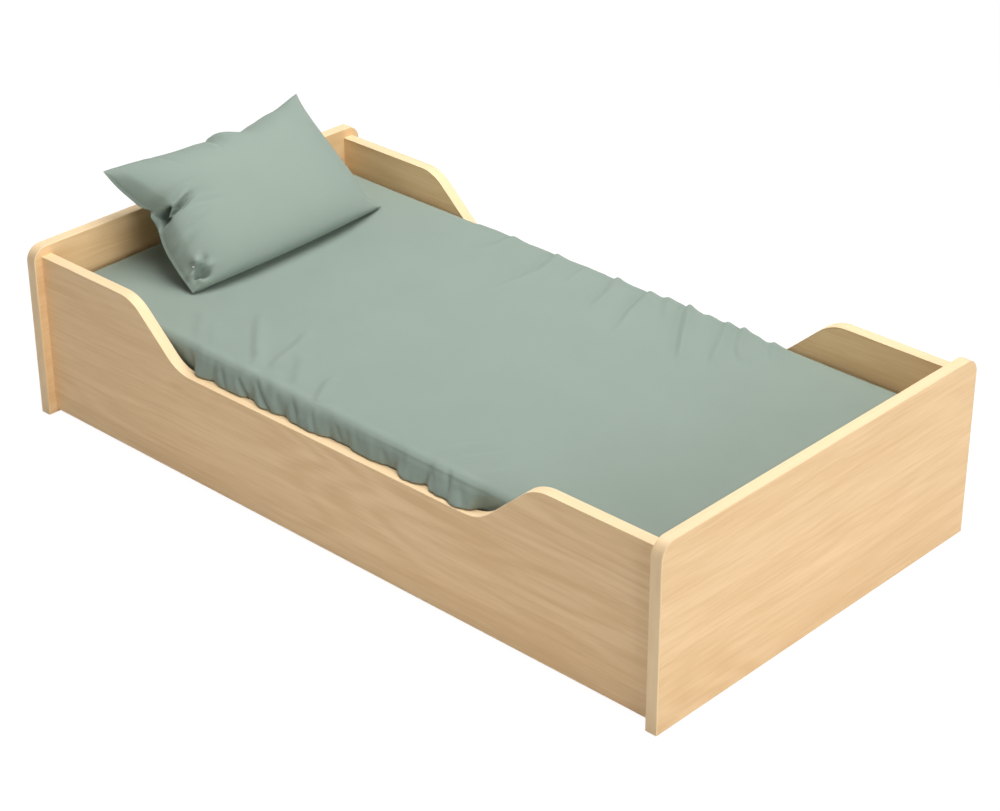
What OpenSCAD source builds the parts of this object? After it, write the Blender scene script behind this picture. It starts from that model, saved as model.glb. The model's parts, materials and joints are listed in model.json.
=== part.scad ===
// Low child's bed made of laminated boards, with a slatted base, a mattress in a fitted sheet and a pillow.
// Millimetres. X runs along the bed with the head at -X, Y across it with the far side at +Y, Z up.
// The origin is on the floor, in the middle of the bed.

/* [Mattress] */
// Length of the mattress
mattress_l = 1400; // [1200:10:1600]
// Width of the mattress
mattress_w = 700; // [600:10:900]
// Height of the mattress in its sheet, half way along
mattress_h = 122; // [100:1:130]
// Free space between the mattress and the boards, on each side
mattress_play = 5; // [4:0.5:10]
// Fall of the mattress top from the head to the foot
mattress_fall = 13; // [0:1:18]
// Rise of the mattress top from its sides to its middle
mattress_crown = 2; // [0:0.5:8]
// Radius of the mattress corners seen from above
corner_round = 30; // [20:1:45]
// Radius of the mattress edges at the top
edge_round = 25; // [20:1:40]

/* [Boards] */
// Thickness of every board with its decor
board_t = 22; // [18:1:28]
// Height of the headboard and of the footboard
end_h = 328; // [322:2:420]
// Distance from the side panels' outer faces to the ends of the end boards
end_overhang = 17; // [8:1:40]
// Radius of the end boards' upper corners
end_corner_r = 28; // [10:1:60]
// Gap between the floor and the side panels
side_floor_gap = 7; // [3:1:20]
// Height of the side panels' high ends above the floor
side_top = 310; // [290:1:320]
// Length of the level part at each high end
shoulder_l = 210; // [150:5:260]
// Depth of the entry scoop below the high ends
scoop_drop = 102; // [80:1:120]
// Slope of the scoop's flanks, in degrees
scoop_slope = 42; // [38:1:48]
// Radius of the scoop's crests and troughs
scoop_r = 80; // [50:1:100]

/* [Edge bands] */
// Thickness of the edge bands
band_t = 2; // [1:0.1:3]
// Rounding of the end boards' bands along their edges
band_round = 1.5; // [0.5:0.1:1.9]

/* [Slatted base] */
// Height of the slats' top faces above the floor
slat_top = 126; // [110:1:130]
// Number of slats
slat_count = 13; // [10:1:14]
// Width of a slat
slat_w = 60; // [45:1:70]
// Thickness of a slat
slat_t = 17; // [14:1:22]
// Rounding of the slats' long edges
slat_round = 3; // [1:0.5:5]
// Gap between a slat's end and the side panel
slat_play = 3; // [2:0.5:6]
// Gap between the end boards and the first and last slats
slat_margin = 12; // [6:1:25]
// Width of a slat ledger
ledger_w = 20; // [16:1:28]
// Height of a slat ledger
ledger_h = 30; // [24:1:36]
// Gap between a ledger's end and the end board
ledger_play = 5; // [2:1:10]
// Number of screws in each ledger
ledger_screw_count = 6; // [4:1:8]
// Distance from the side panel to the middle of a webbing tape
webbing_inset = 105; // [80:5:160]
// Width of a webbing tape
webbing_w = 25; // [20:1:35]
// Thickness of a webbing tape
webbing_t = 1; // [0.8:0.1:1.5]
// Width of a staple
staple_w = 10; // [8:1:14]
// Diameter of the staples' wire
staple_d = 1; // [0.8:0.1:1.2]
// Depth of the staples' legs in the slats
staple_leg = 8; // [6:0.5:10]

/* [Board fittings] */
// Diameter of a cam
cam_d = 15; // [12:1:18]
// Distance from the side panel's end to a cam's axis
cam_setback = 34; // [24:1:40]
// Depth of a cam beyond the bolt's axis
cam_below_axis = 4.2; // [4:0.1:5]
// Height of the lower cams above the side panels' lower edge
cam_low = 36; // [30:1:40]
// Distance between the lower and the upper cams
cam_spacing = 160; // [140:2:176]
// Diameter of a cam bolt's shank
bolt_shank_d = 5; // [4:0.5:6]
// Diameter of a cam bolt's head
bolt_head_d = 6.5; // [6:0.1:7]
// Length of a cam bolt's head
bolt_head_l = 3.6; // [3:0.1:4]
// Diameter of the neck behind a cam bolt's head
bolt_neck_d = 3.6; // [3:0.1:4]
// Length of the neck behind a cam bolt's head
bolt_neck_l = 6; // [5:0.5:8]
// Depth of a cam bolt's thread in the end board
bolt_depth = 12; // [9:1:14]
// Diameter of the side panels' bolt channels
channel_d = 8; // [7:0.5:9]
// Diameter of a dowel
dowel_d = 8; // [6:1:10]
// Length of a dowel
dowel_l = 35; // [30:1:40]
// Depth of a dowel in the end board
dowel_depth = 13; // [10:1:14]
// Distance from each cam bolt to the dowel beside it
dowel_offset = 32; // [24:1:38]
// Diameter of the wood screws' shanks
screw_d = 4; // [3.5:0.1:4.5]
// Diameter of the wood screws' heads
screw_head_d = 8; // [7:0.5:9]
// Length of a ledger screw
ledger_screw_l = 35; // [30:1:37]
// Length of a slat screw
slat_screw_l = 38; // [30:1:42]

/* [Sheet and mattress cover] */
// Depth of the space between the cover and the sheet's crests
sheet_fullness = 6; // [5:0.5:8]
// Thickness of the sheet under the mattress
sheet_t = 1.2; // [0.8:0.1:2]
// Width of the sheet turned in under the mattress
sheet_turn_in = 60; // [40:5:100]
// Distance between the gathers along the sides
gather_pitch = 74; // [60:1:110]
// Depth of the gathers
gather_depth = 4; // [2:0.5:4]
// Slant of the gathers where they run out on the top, along the bed
gather_slant = 22; // [0:1:40]
// Length over which the gathers fade towards the ends
gather_fade = 330; // [200:10:450]
// Width of the elastic in the sheet's hem
elastic_w = 6; // [4:1:10]
// Thickness of the elastic
elastic_t = 0.9; // [0.5:0.1:1.1]
// Thickness of the mattress cover
cover_t = 2.4; // [1.5:0.1:4]

/* [Pillow] */
// Width of the filled pillow from corner to corner
pillow_w = 490; // [400:5:560]
// Height of the filled pillow from corner to corner
pillow_h = 267; // [250:1:276]
// Thickness of the filled pillow in its middle
pillow_t = 140; // [110:2:150]
// Angle between the pillow and the mattress, in degrees
pillow_rise = 40; // [38:1:50]
// Distance of the pillow's middle from the bed's centre line, towards the far side
pillow_shift = 30; // [-60:5:60]
// How far the pillow's upper side is drawn in between its corners
draw_top = 25; // [10:1:32]
// How far its lower side is drawn in
draw_bottom = 4; // [0:1:15]
// How far its near side is drawn in
draw_near = 17; // [5:1:28]
// How far its far side is drawn in
draw_far = 11; // [5:1:28]
// Depth of the pinch in the pillow's near side
pinch_depth = 24; // [0:1:30]
// Height of the lower seam above the mattress
seam_lift = 4; // [3:0.5:10]
// Thickness of the pillowcase
case_t = 1.4; // [1.2:0.1:2.5]
// Length of the pillowcase's opening, in its lower seam
opening_l = 320; // [200:10:400]
// Width that the opening gapes
opening_w = 1.2; // [0.8:0.1:2]

/* [Hidden] */
$fn = 64;

// Clearance between a soft piece and what it rests on or fills
rest_gap = 0.3;
// Clearance round a fastener in its hole
hole_gap = 0.05;
// Clearance between the hem's edge and its elastic
hem_gap = 0.3;
// How far a cut runs past a face
cut = 1;

// Inside of the board frame
inner_l = mattress_l + 2 * mattress_play;
inner_w = mattress_w + 2 * mattress_play;
end_face = inner_l / 2;
side_face = inner_w / 2;
side_mid = side_face + board_t / 2;
bed_w = inner_w + 2 * board_t + 2 * end_overhang;

// The side panels' scoop
low_top = side_top - scoop_drop;
flank_l = (scoop_drop - 2 * scoop_r * (1 - cos(scoop_slope))) / sin(scoop_slope);
scoop_run = 2 * scoop_r * sin(scoop_slope) + flank_l * cos(scoop_slope);
crest_x = end_face - shoulder_l;
trough_x = crest_x - scoop_run;
// How far the flanks' lines run inside the crests' and troughs' circles, so that they meet at clear corners
flank_lap = 0.02;

// Cam fittings and dowels, as heights above the floor
cam_h = board_t / 2 + cam_below_axis;
cam_play = 0.2;
cam_heights = [side_floor_gap + cam_low, side_floor_gap + cam_low + cam_spacing];
dowel_heights = [cam_heights[0] + dowel_offset, cam_heights[1] - dowel_offset, cam_heights[1] + dowel_offset];
dowel_chamfer = 1;
cam_wall = 2;
cam_pocket_h = bolt_head_d + 0.7;
cam_slot_w = bolt_neck_d + 0.8;
cam_slot_turn = 200;
cam_slot_start = -32;
cam_recess_l = 8;
cam_recess_w = 1.4;
cam_recess_depth = 2;
collar_l = 1;
collar_extra = 1;

// Slatted base
slat_pitch = (inner_l - 2 * slat_margin - slat_w) / (slat_count - 1);
slat_l = inner_w - 2 * slat_play;
slat_bottom = slat_top - slat_t;
ledger_round = 2;
ledger_screw_inset = 80;
ledger_screw_pitch = (inner_l - 2 * ledger_screw_inset) / (ledger_screw_count - 1);
webbing_y = side_face - webbing_inset;
screw_head_h = (screw_head_d - screw_d) / 2;
screw_tip = 5;

// Mattress layers: how far each lies inside the sheet's crests, and where its underside is
mattress_base = slat_top + rest_gap;
cover_inset = sheet_fullness;
cover_base = mattress_base + sheet_t + rest_gap;
core_inset = cover_inset + cover_t + rest_gap;
core_base = cover_base + cover_t + rest_gap;
end_steps = [0, 2.5, 9, 19];
fine_rings = 70;
plain_rings = 4;

// Pillow
pillow_half = pillow_t / 2;
pillow_columns = 18;
pillow_rows = 16;
filling_gap = 0.4;
rim_power = 8;
dent_limit = 0.75;
opening_depth = 6;
pinch_u = -0.86;
pinch_v = 0.36;
tuck_u = -0.84;
tuck_v = -0.66;
tuck_depth = 8;

function slat_name(i) = str("slat_", i < 10 ? "0" : "", i);
function slat_x(i) = -end_face + slat_margin + slat_w / 2 + (i - 1) * slat_pitch;
function ledger_screw_x(i) = -end_face + ledger_screw_inset + i * ledger_screw_pitch;

// Placement helpers

// Extrudes a shape drawn in (Y, Z) along X, from x0 over one board's thickness
module across(x0) {
    translate([x0, 0, 0]) rotate([90, 0, 90]) linear_extrude(board_t) children();
}

// Extrudes a shape drawn in (X, Z) along Y, from y0 over one board's thickness
module along(y0) {
    translate([0, y0 + board_t, 0]) rotate([90, 0, 0]) linear_extrude(board_t) children();
}

// Repeats the far half on the near side
module both_sides() {
    children();
    mirror([0, 1, 0]) children();
}

// Repeats the foot half at the head
module both_ends() {
    children();
    mirror([1, 0, 0]) children();
}

// Puts one board joint's pieces at all four joints, with +X into the footboard
module at_joints() {
    both_ends() both_sides() translate([end_face, side_mid, 0]) children();
}

// Cylinder along +X from the origin
module bar(d, l) {
    rotate([0, 90, 0]) cylinder(d = d, h = l);
}

// A board strip of width w and height h with rounded long edges, drawn in 2D from its lower left corner
module rounded_strip(w, h, r) {
    translate([r, 0]) square([w - 2 * r, h]);
    translate([0, r]) square([w, h - 2 * r]);
    for (x = [r, w - r], y = [r, h - r]) translate([x, y]) circle(r);
}

// Section of an end board's edge band, with the board's thickness along Y and the outside at +X
module band_section() {
    inner = band_t - band_round;
    intersection() {
        union() {
            square([inner, board_t]);
            translate([0, band_round]) square([band_t, board_t - 2 * band_round]);
            for (y = [band_round, board_t - band_round]) translate([inner, y]) circle(band_round);
        }
        square([band_t, board_t]);
    }
}

// End boards

module end_outline() {
    w = bed_w / 2 - band_t;
    h = end_h - band_t;
    r = end_corner_r - band_t;
    translate([-w, 0]) square([2 * w, h - r]);
    translate([-w + r, 0]) square([2 * (w - r), h]);
    for (y = [-w + r, w - r]) translate([y, h - r]) circle(r);
}

module end_board() {
    difference() {
        across(end_face) end_outline();
        both_sides() translate([end_face, side_mid, 0]) {
            for (z = cam_heights) translate([-cut, 0, z]) bar(bolt_shank_d + 2 * hole_gap, bolt_depth + 1 + cut);
            for (z = dowel_heights) translate([-cut, 0, z]) bar(dowel_d + 2 * hole_gap, dowel_depth + 1 + cut);
        }
    }
}

// The band runs up one side, round both corners and down the other side
module end_band() {
    centre_y = bed_w / 2 - end_corner_r;
    centre_z = end_h - end_corner_r;
    inner_r = end_corner_r - band_t;
    translate([end_face, 0, 0]) rotate([90, 0, 90]) {
        for (side = [0, 1]) mirror([side, 0, 0]) {
            translate([centre_y + inner_r, 0, 0]) rotate([-90, 0, 0]) mirror([0, 1, 0])
                linear_extrude(centre_z) band_section();
            translate([centre_y, centre_z, 0]) rotate_extrude(angle = 90)
                translate([inner_r, 0]) band_section();
        }
        translate([-centre_y, centre_z + inner_r, 0]) rotate([90, 0, 90])
            linear_extrude(2 * centre_y) band_section();
    }
}

module footboard() {
    color("BurlyWood") end_board();
}

module footboard_edge_band() {
    color("Wheat") end_band();
}

module headboard() {
    color("BurlyWood") mirror([1, 0, 0]) end_board();
}

module headboard_edge_band() {
    color("Wheat") mirror([1, 0, 0]) end_band();
}

// Side panels

// Outline of a side panel in its band, drawn in by an inset, with its ends moved out
module side_outline(inset, past_end = 0) {
    bottom = side_floor_gap + inset;
    high = side_top - inset;
    low = low_top - inset;
    crest_r = scoop_r - inset;
    trough_r = scoop_r + inset;
    crest = [crest_x, side_top - scoop_r];
    trough = [trough_x, low_top + scoop_r];
    crest_foot = crest + (crest_r - flank_lap) * [-sin(scoop_slope), cos(scoop_slope)];
    trough_foot = trough - (trough_r - flank_lap) * [-sin(scoop_slope), cos(scoop_slope)];
    difference() {
        union() {
            translate([-end_face - past_end, bottom]) square([2 * (end_face + past_end), low - bottom]);
            both_ends_2d() {
                translate([crest_x, bottom]) square([shoulder_l + past_end, high - bottom]);
                polygon([
                    [crest_x, bottom], [crest_x, high], crest_foot, trough_foot,
                    [trough_x, low], [trough_x, bottom]
                ]);
                translate(crest) circle(crest_r);
            }
        }
        both_ends_2d() translate(trough) circle(trough_r);
    }
}

module both_ends_2d() {
    children();
    mirror([1, 0]) children();
}

module side_panel() {
    difference() {
        along(side_face) side_outline(band_t);
        both_ends() translate([end_face, side_mid, 0]) {
            for (z = cam_heights) {
                translate([-cam_setback, 0, z]) bar(channel_d, cam_setback + cut);
                translate([-cam_setback, -board_t / 2 - cut, z]) rotate([-90, 0, 0])
                    cylinder(d = cam_d + 2 * hole_gap, h = cam_h + cam_play + cut);
            }
            for (z = dowel_heights) translate([dowel_depth - dowel_l - 1, 0, z])
                bar(dowel_d + 2 * hole_gap, dowel_l - dowel_depth + 1 + cut);
        }
        ledger_screw_row() screw(ledger_screw_l, hole_gap);
    }
}

module side_band() {
    along(side_face) difference() {
        side_outline(0);
        side_outline(band_t, cut);
    }
}

module far_side_panel() {
    color("BurlyWood") side_panel();
}

module far_side_edge_band() {
    color("Wheat") side_band();
}

module near_side_panel() {
    color("BurlyWood") mirror([0, 1, 0]) side_panel();
}

module near_side_edge_band() {
    color("Wheat") mirror([0, 1, 0]) side_band();
}

// Board fittings

// Half profile of a cam bolt, with the board joint at height 0 and the head's end below it
module bolt_profile() {
    head_end = -cam_setback - bolt_head_l / 2;
    neck_end = head_end + bolt_head_l + bolt_neck_l;
    translate([0, head_end]) square([bolt_head_d / 2, bolt_head_l]);
    translate([0, head_end]) square([bolt_neck_d / 2, bolt_head_l + bolt_neck_l]);
    translate([0, neck_end]) square([bolt_shank_d / 2, bolt_depth - neck_end]);
    translate([0, -collar_l]) square([bolt_shank_d / 2 + collar_extra, collar_l]);
}

module cam_bolts() {
    color("Silver") at_joints() for (z = cam_heights) translate([0, 0, z])
        rotate([0, 90, 0]) rotate_extrude() bolt_profile();
}

// A turned cam: its axis is Z with the driver recess at the bottom, and the bolt comes in from +X
module cam() {
    difference() {
        cylinder(d = cam_d - 2 * hole_gap, h = cam_h);
        translate([0, 0, board_t / 2 - cam_pocket_h / 2]) cylinder(d = cam_d - 2 * cam_wall, h = cam_pocket_h + cut);
        translate([0, 0, board_t / 2 - cam_slot_w / 2]) rotate([0, 0, cam_slot_start])
            rotate_extrude(angle = cam_slot_turn) square([cam_d, cam_slot_w]);
        for (a = [0, 90]) rotate([0, 0, a]) translate([-cam_recess_l / 2, -cam_recess_w / 2, -cut])
            cube([cam_recess_l, cam_recess_w, cam_recess_depth + cut]);
    }
}

module cam_locks() {
    color("LightSlateGray") at_joints() for (z = cam_heights)
        translate([-cam_setback, -board_t / 2, z]) rotate([-90, 0, 0]) cam();
}

module joint_dowels() {
    r = dowel_d / 2;
    tip = r - dowel_chamfer;
    color("Tan") at_joints() for (z = dowel_heights) translate([dowel_depth - dowel_l, 0, z])
        rotate([0, 90, 0]) rotate_extrude() polygon([
            [0, 0], [tip, 0], [r, dowel_chamfer], [r, dowel_l - dowel_chamfer], [tip, dowel_l], [0, dowel_l]
        ]);
}

// A countersunk screw pointing down from its head's top face at the origin, grown by a gap for its hole
module screw(l, gap = 0) {
    rotate_extrude() polygon([
        [0, gap > 0 ? cut : 0], [screw_head_d / 2 + gap, gap > 0 ? cut : 0], [screw_head_d / 2 + gap, 0],
        [screw_d / 2 + gap, -screw_head_h], [screw_d / 2 + gap, -l + screw_tip], [gap, -l - gap], [0, -l - gap]
    ]);
}

// Slatted base

module ledger_screw_row() {
    for (i = [0:ledger_screw_count - 1])
        translate([ledger_screw_x(i), side_face - ledger_w, slat_bottom - ledger_h / 2]) rotate([90, 0, 0]) children();
}

module slat_screw_set() {
    for (i = [1, slat_count]) translate([slat_x(i), side_face - ledger_w / 2, slat_top]) children();
}

module ledger() {
    difference() {
        translate([-end_face + ledger_play, side_face - ledger_w, slat_bottom - ledger_h]) rotate([90, 0, 90])
            linear_extrude(inner_l - 2 * ledger_play) rounded_strip(ledger_w, ledger_h, ledger_round);
        ledger_screw_row() screw(ledger_screw_l, hole_gap);
        slat_screw_set() screw(slat_screw_l, hole_gap);
    }
}

module far_slat_ledger() {
    color("Moccasin") ledger();
}

module near_slat_ledger() {
    color("Moccasin") mirror([0, 1, 0]) ledger();
}

module ledger_screws() {
    color("Silver") both_sides() ledger_screw_row() screw(ledger_screw_l);
}

module slat_screws() {
    color("Silver") both_sides() slat_screw_set() screw(slat_screw_l);
}

// The two legs of one staple, from the crown up into the slat
module staple_legs(gap = 0) {
    for (y = [-1, 1]) translate([0, y * (staple_w - staple_d) / 2, slat_bottom - webbing_t])
        cylinder(d = staple_d + 2 * gap, h = webbing_t + staple_leg + gap);
}

module slat(i) {
    color("NavajoWhite") difference() {
        translate([slat_x(i) - slat_w / 2, slat_l / 2, slat_bottom]) rotate([90, 0, 0])
            linear_extrude(slat_l) rounded_strip(slat_w, slat_t, slat_round);
        both_sides() translate([slat_x(i), webbing_y, 0]) staple_legs(hole_gap);
        both_sides() slat_screw_set() screw(slat_screw_l, hole_gap);
    }
}

module webbing() {
    start = slat_x(1) - slat_w / 2;
    difference() {
        translate([start, webbing_y - webbing_w / 2, slat_bottom - webbing_t])
            cube([-2 * start, webbing_w, webbing_t]);
        for (i = [1:slat_count]) translate([slat_x(i), webbing_y, -cut]) staple_legs(hole_gap);
    }
}

module far_slat_webbing() {
    color("WhiteSmoke") webbing();
}

module near_slat_webbing() {
    color("WhiteSmoke") mirror([0, 1, 0]) webbing();
}

module webbing_staples() {
    color("Silver") both_sides() for (i = [1:slat_count]) translate([slat_x(i), webbing_y, 0]) {
        staple_legs();
        translate([-staple_d / 2, -staple_w / 2, slat_bottom - webbing_t - staple_d])
            cube([staple_d, staple_w, staple_d]);
    }
}

// Mattress, cover and sheet: closed skins through rings of points that stand across the bed

function edge_inset(s, r) = s >= r ? 0 : r - sqrt(r * r - (r - s) * (r - s));
function mattress_top(x, y) =
    mattress_base + mattress_h - mattress_fall * x / mattress_l
    + mattress_crown * (1 - pow(2 * y / mattress_w, 2)) - mattress_crown / 2;

// Gathers along one side: a wave whose pitch wanders, fading towards both ends. side is -1 or 1.
function gather_mask(x) = min(1, max(0.15, (mattress_l / 2 - abs(x)) / gather_fade));
function gather(x, side) =
    gather_depth * gather_mask(x) * (
        0.5 * sin(360 * x / gather_pitch + 50 * sin(360 * x / (4.3 * gather_pitch)) + 70 * side)
        + 0.25 * sin(360 * x / (0.57 * gather_pitch) + 110 * side) - 0.45
    );

// Half of a ring, from the underside to the top, as [y, z] on the far side
function half_ring(x, inset, base, folds, side) =
    let (
        reach = mattress_l / 2 - inset - abs(x),
        w = mattress_w / 2 - inset - edge_inset(reach, corner_round),
        drop = edge_inset(reach, edge_round),
        top_z = mattress_top(x, w) - inset - drop,
        g = folds ? gather(x, side) : 0,
        g_top = folds ? gather(x + side * gather_slant, side) : 0,
        shoulder = edge_round * (1 - cos(45))
    ) [
        [w - 5, base],
        [w + g / 2, base + 8],
        [w + g, top_z - edge_round],
        [w - shoulder + g * cos(45), top_z - shoulder + g * sin(45)],
        [w - edge_round, top_z + g_top],
        [w - 2.6 * edge_round, mattress_top(x, w - 2.6 * edge_round) - inset - drop + g_top / 3]
    ];

function ring(x, inset, base, folds) =
    let (
        far = half_ring(x, inset, base, folds, 1),
        near = half_ring(x, inset, base, folds, -1),
        drop = edge_inset(mattress_l / 2 - inset - abs(x), edge_round)
    ) concat(
        [for (p = near) [x, -p[0], p[1]]],
        [[x, 0, mattress_top(x, 0) - inset - drop]],
        [for (i = [len(far) - 1:-1:0]) [x, far[i][0], far[i][1]]]
    );

// Places of the rings: a few close ones at each end for the rounded edges, and even ones between
function ring_places(inset, count) =
    let (
        reach = mattress_l / 2 - inset,
        start = -reach + corner_round,
        stride = 2 * (reach - corner_round) / (count - 1)
    ) concat(
        [for (s = end_steps) -reach + s],
        [for (i = [0:count - 1]) start + i * stride],
        [for (i = [len(end_steps) - 1:-1:0]) reach - end_steps[i]]
    );

module mattress_skin(inset, base, count, folds = false) {
    places = ring_places(inset, count);
    rings = [for (x = places) ring(x, inset, base, folds)];
    n = len(rings[0]);
    last = (len(rings) - 1) * n;
    walls = [
        for (i = [0:len(rings) - 2], j = [0:n - 1])
            let (a = i * n + j, b = i * n + (j + 1) % n)
                each [[a, b, b + n], [a, b + n, a + n]]
    ];
    head_cap = [for (j = [1:n - 2]) [0, j + 1, j]];
    foot_cap = [for (j = [1:n - 2]) [last, last + j, last + j + 1]];
    polyhedron([for (r = rings) each r], concat(walls, head_cap, foot_cap), convexity = 4);
}

module mattress_core() {
    color("Ivory") mattress_skin(core_inset, core_base, plain_rings);
}

module mattress_cover() {
    color("White") difference() {
        mattress_skin(cover_inset, cover_base, plain_rings);
        mattress_skin(core_inset - rest_gap, core_base - rest_gap, plain_rings);
    }
}

module fitted_sheet() {
    hem_l = mattress_l - 2 * sheet_turn_in;
    hem_w = mattress_w - 2 * sheet_turn_in;
    color("DarkSeaGreen") difference() {
        mattress_skin(0, mattress_base, fine_rings, true);
        mattress_skin(cover_inset - rest_gap, cover_base - rest_gap, plain_rings);
        translate([-hem_l / 2, -hem_w / 2, mattress_base - cut]) cube([hem_l, hem_w, sheet_t + 2 * cut]);
    }
}

module sheet_elastic() {
    outer_l = mattress_l - 2 * sheet_turn_in - 2 * hem_gap;
    outer_w = mattress_w - 2 * sheet_turn_in - 2 * hem_gap;
    color("White") translate([0, 0, mattress_base]) linear_extrude(elastic_t) difference() {
        square([outer_l, outer_w], center = true);
        square([outer_l - 2 * elastic_w, outer_w - 2 * elastic_w], center = true);
    }
}

// Pillow: a grid of points on its front and back, in the pillow's own width u and height v from -1 to 1

// The headboard's upper edge presses into the pillow's back at this depth behind its seam
function back_depth(d, turns) =
    turns == 0 ? d
    : let (
        up = d / tan(pillow_rise) + (end_h - seam_z) / sin(pillow_rise),
        v = max(-1, min(1, 2 * up / pillow_h - 1))
    ) back_depth(pillow_half * sqrt(1 - v * v), turns - 1);
seam_z = mattress_base + mattress_h + mattress_fall * 0.36 + mattress_crown / 2 + seam_lift;
press_depth = back_depth(pillow_half, 12) + rest_gap;
seam_x = -end_face + (press_depth + (end_h - seam_z) * cos(pillow_rise)) / sin(pillow_rise);

function bump(u, v, at_u, at_v, wide_u, wide_v) = exp(-pow((u - at_u) / wide_u, 2) - pow((v - at_v) / wide_v, 2));

// How far the front is pushed in: the pinch on the near side and the tuck at the lower corner
function pushed_in(u, v) =
    pinch_depth * bump(u, v, pinch_u, pinch_v, 0.15, 0.14) + tuck_depth * bump(u, v, tuck_u, tuck_v, 0.1, 0.1);

// A point on the pillow: side is 1 on the front and -1 on the back, and inset is how deep it lies
function pillow_point(u, v, side, inset) =
    let (
        draw_u = u < 0 ? draw_near : draw_far,
        draw_v = v < 0 ? draw_bottom : draw_top,
        across_p = u * (pillow_w / 2 - inset * pow(u, rim_power) - draw_u * (1 - v * v)),
        up_p = v * (pillow_h / 2 - inset * pow(v, rim_power) - draw_v * (1 - u * u)) + pillow_h / 2,
        belly = sqrt(max(0, (1 - u * u) * (1 - v * v))),
        dent = side > 0 ? min(pushed_in(u, v), dent_limit * pillow_half * belly) : 0,
        out_p = side * (pillow_half * belly - dent - inset * min(1, rim_power * belly / 2)),
        x = seam_x - up_p * cos(pillow_rise) + out_p * sin(pillow_rise),
        y = pillow_shift + across_p,
        z = seam_z + up_p * sin(pillow_rise) + out_p * cos(pillow_rise)
    ) [x, y, max(z, mattress_top(x, y) + rest_gap + inset)];

module pillow_skin(inset) {
    us = [for (i = [0:pillow_columns]) -cos(180 * i / pillow_columns)];
    vs = [for (j = [0:pillow_rows]) -cos(180 * j / pillow_rows)];
    n = pillow_rows + 1;
    front_count = (pillow_columns + 1) * n;
    front = [for (u = us, v = vs) pillow_point(u, v, 1, inset)];
    back = [for (i = [1:pillow_columns - 1], j = [1:pillow_rows - 1]) pillow_point(us[i], vs[j], -1, inset)];
    function rim(i, j) = i == 0 || j == 0 || i == pillow_columns || j == pillow_rows;
    function back_index(i, j) = rim(i, j) ? i * n + j : front_count + (i - 1) * (pillow_rows - 1) + j - 1;
    // Each cell is split along the diagonal that points to the nearest corner, which keeps the corners open
    function split(a, b, c, d, along) = along ? [[a, b, c], [a, c, d]] : [[a, b, d], [b, c, d]];
    faces = [
        for (i = [0:pillow_columns - 1], j = [0:pillow_rows - 1])
            let (
                a = i * n + j, b = (i + 1) * n + j,
                c = back_index(i, j), d = back_index(i + 1, j),
                e = back_index(i + 1, j + 1), f = back_index(i, j + 1),
                along = (i < pillow_columns / 2) == (j < pillow_rows / 2)
            )
                each concat(split(a, a + 1, b + 1, b, along), split(c, d, e, f, along))
    ];
    polyhedron(concat(front, back), faces, convexity = 4);
}

module pillow_filling() {
    color("White") pillow_skin(case_t + filling_gap);
}

module pillowcase() {
    reach = draw_bottom + opening_depth;
    color("DarkSeaGreen") difference() {
        pillow_skin(0);
        pillow_skin(case_t);
        translate([seam_x, pillow_shift, seam_z]) rotate([0, pillow_rise, 0])
            translate([-reach, -opening_l / 2, -opening_w / 2]) cube([reach + cut, opening_l, opening_w]);
    }
}

headboard();
headboard_edge_band();
footboard();
footboard_edge_band();
near_side_panel();
near_side_edge_band();
far_side_panel();
far_side_edge_band();
cam_bolts();
cam_locks();
joint_dowels();
near_slat_ledger();
far_slat_ledger();
ledger_screws();
for (i = [1:slat_count]) slat(i);
near_slat_webbing();
far_slat_webbing();
webbing_staples();
slat_screws();
mattress_core();
mattress_cover();
fitted_sheet();
sheet_elastic();
pillow_filling();
pillowcase();
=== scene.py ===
"""Dresses the low child's bed: boards, edge bands, slatted base, mattress in a sheet, pillow and studio.

Metres. X runs along the bed with the head at -X, Y across it with the far side at +Y, Z up.
"""

import json
import logging
import math
from dataclasses import dataclass
from enum import Enum

import bpy
import numpy as np
from mathutils import Matrix, Vector

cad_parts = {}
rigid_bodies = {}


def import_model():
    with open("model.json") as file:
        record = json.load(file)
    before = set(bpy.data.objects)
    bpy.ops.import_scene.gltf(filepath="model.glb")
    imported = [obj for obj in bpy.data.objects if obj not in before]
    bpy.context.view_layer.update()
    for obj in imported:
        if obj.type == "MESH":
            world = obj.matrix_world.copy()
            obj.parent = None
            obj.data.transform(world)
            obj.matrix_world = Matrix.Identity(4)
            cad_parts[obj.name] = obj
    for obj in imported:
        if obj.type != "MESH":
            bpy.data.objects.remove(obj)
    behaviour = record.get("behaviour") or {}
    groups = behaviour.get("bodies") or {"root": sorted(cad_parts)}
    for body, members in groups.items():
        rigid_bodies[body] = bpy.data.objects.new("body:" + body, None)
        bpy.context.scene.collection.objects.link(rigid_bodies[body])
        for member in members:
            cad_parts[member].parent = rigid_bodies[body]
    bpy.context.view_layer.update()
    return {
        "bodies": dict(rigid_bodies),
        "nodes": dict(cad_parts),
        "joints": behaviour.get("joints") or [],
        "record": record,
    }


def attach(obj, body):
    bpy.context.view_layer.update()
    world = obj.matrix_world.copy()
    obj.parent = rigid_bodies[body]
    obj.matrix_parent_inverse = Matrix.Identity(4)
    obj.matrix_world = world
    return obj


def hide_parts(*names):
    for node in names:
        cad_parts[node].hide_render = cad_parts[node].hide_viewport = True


LOG = logging.getLogger("bed")
CLOTH_MAP = "cloth"

# Measures that several parts share: the inner faces and the height of the boards
END_FACE = 0.705
SIDE_FACE = 0.355
END_H = 0.328

# Sockets that nodes have only by number
OBJECT_PLACE = 3
ATTRIBUTE_VALUE = 2
MIX_INPUTS = (0, 6, 7)
MIXED_COLOUR = 2
GLOSSY_RAY = 3
TRANSMISSION_RAY = 6


# Small helpers


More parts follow.
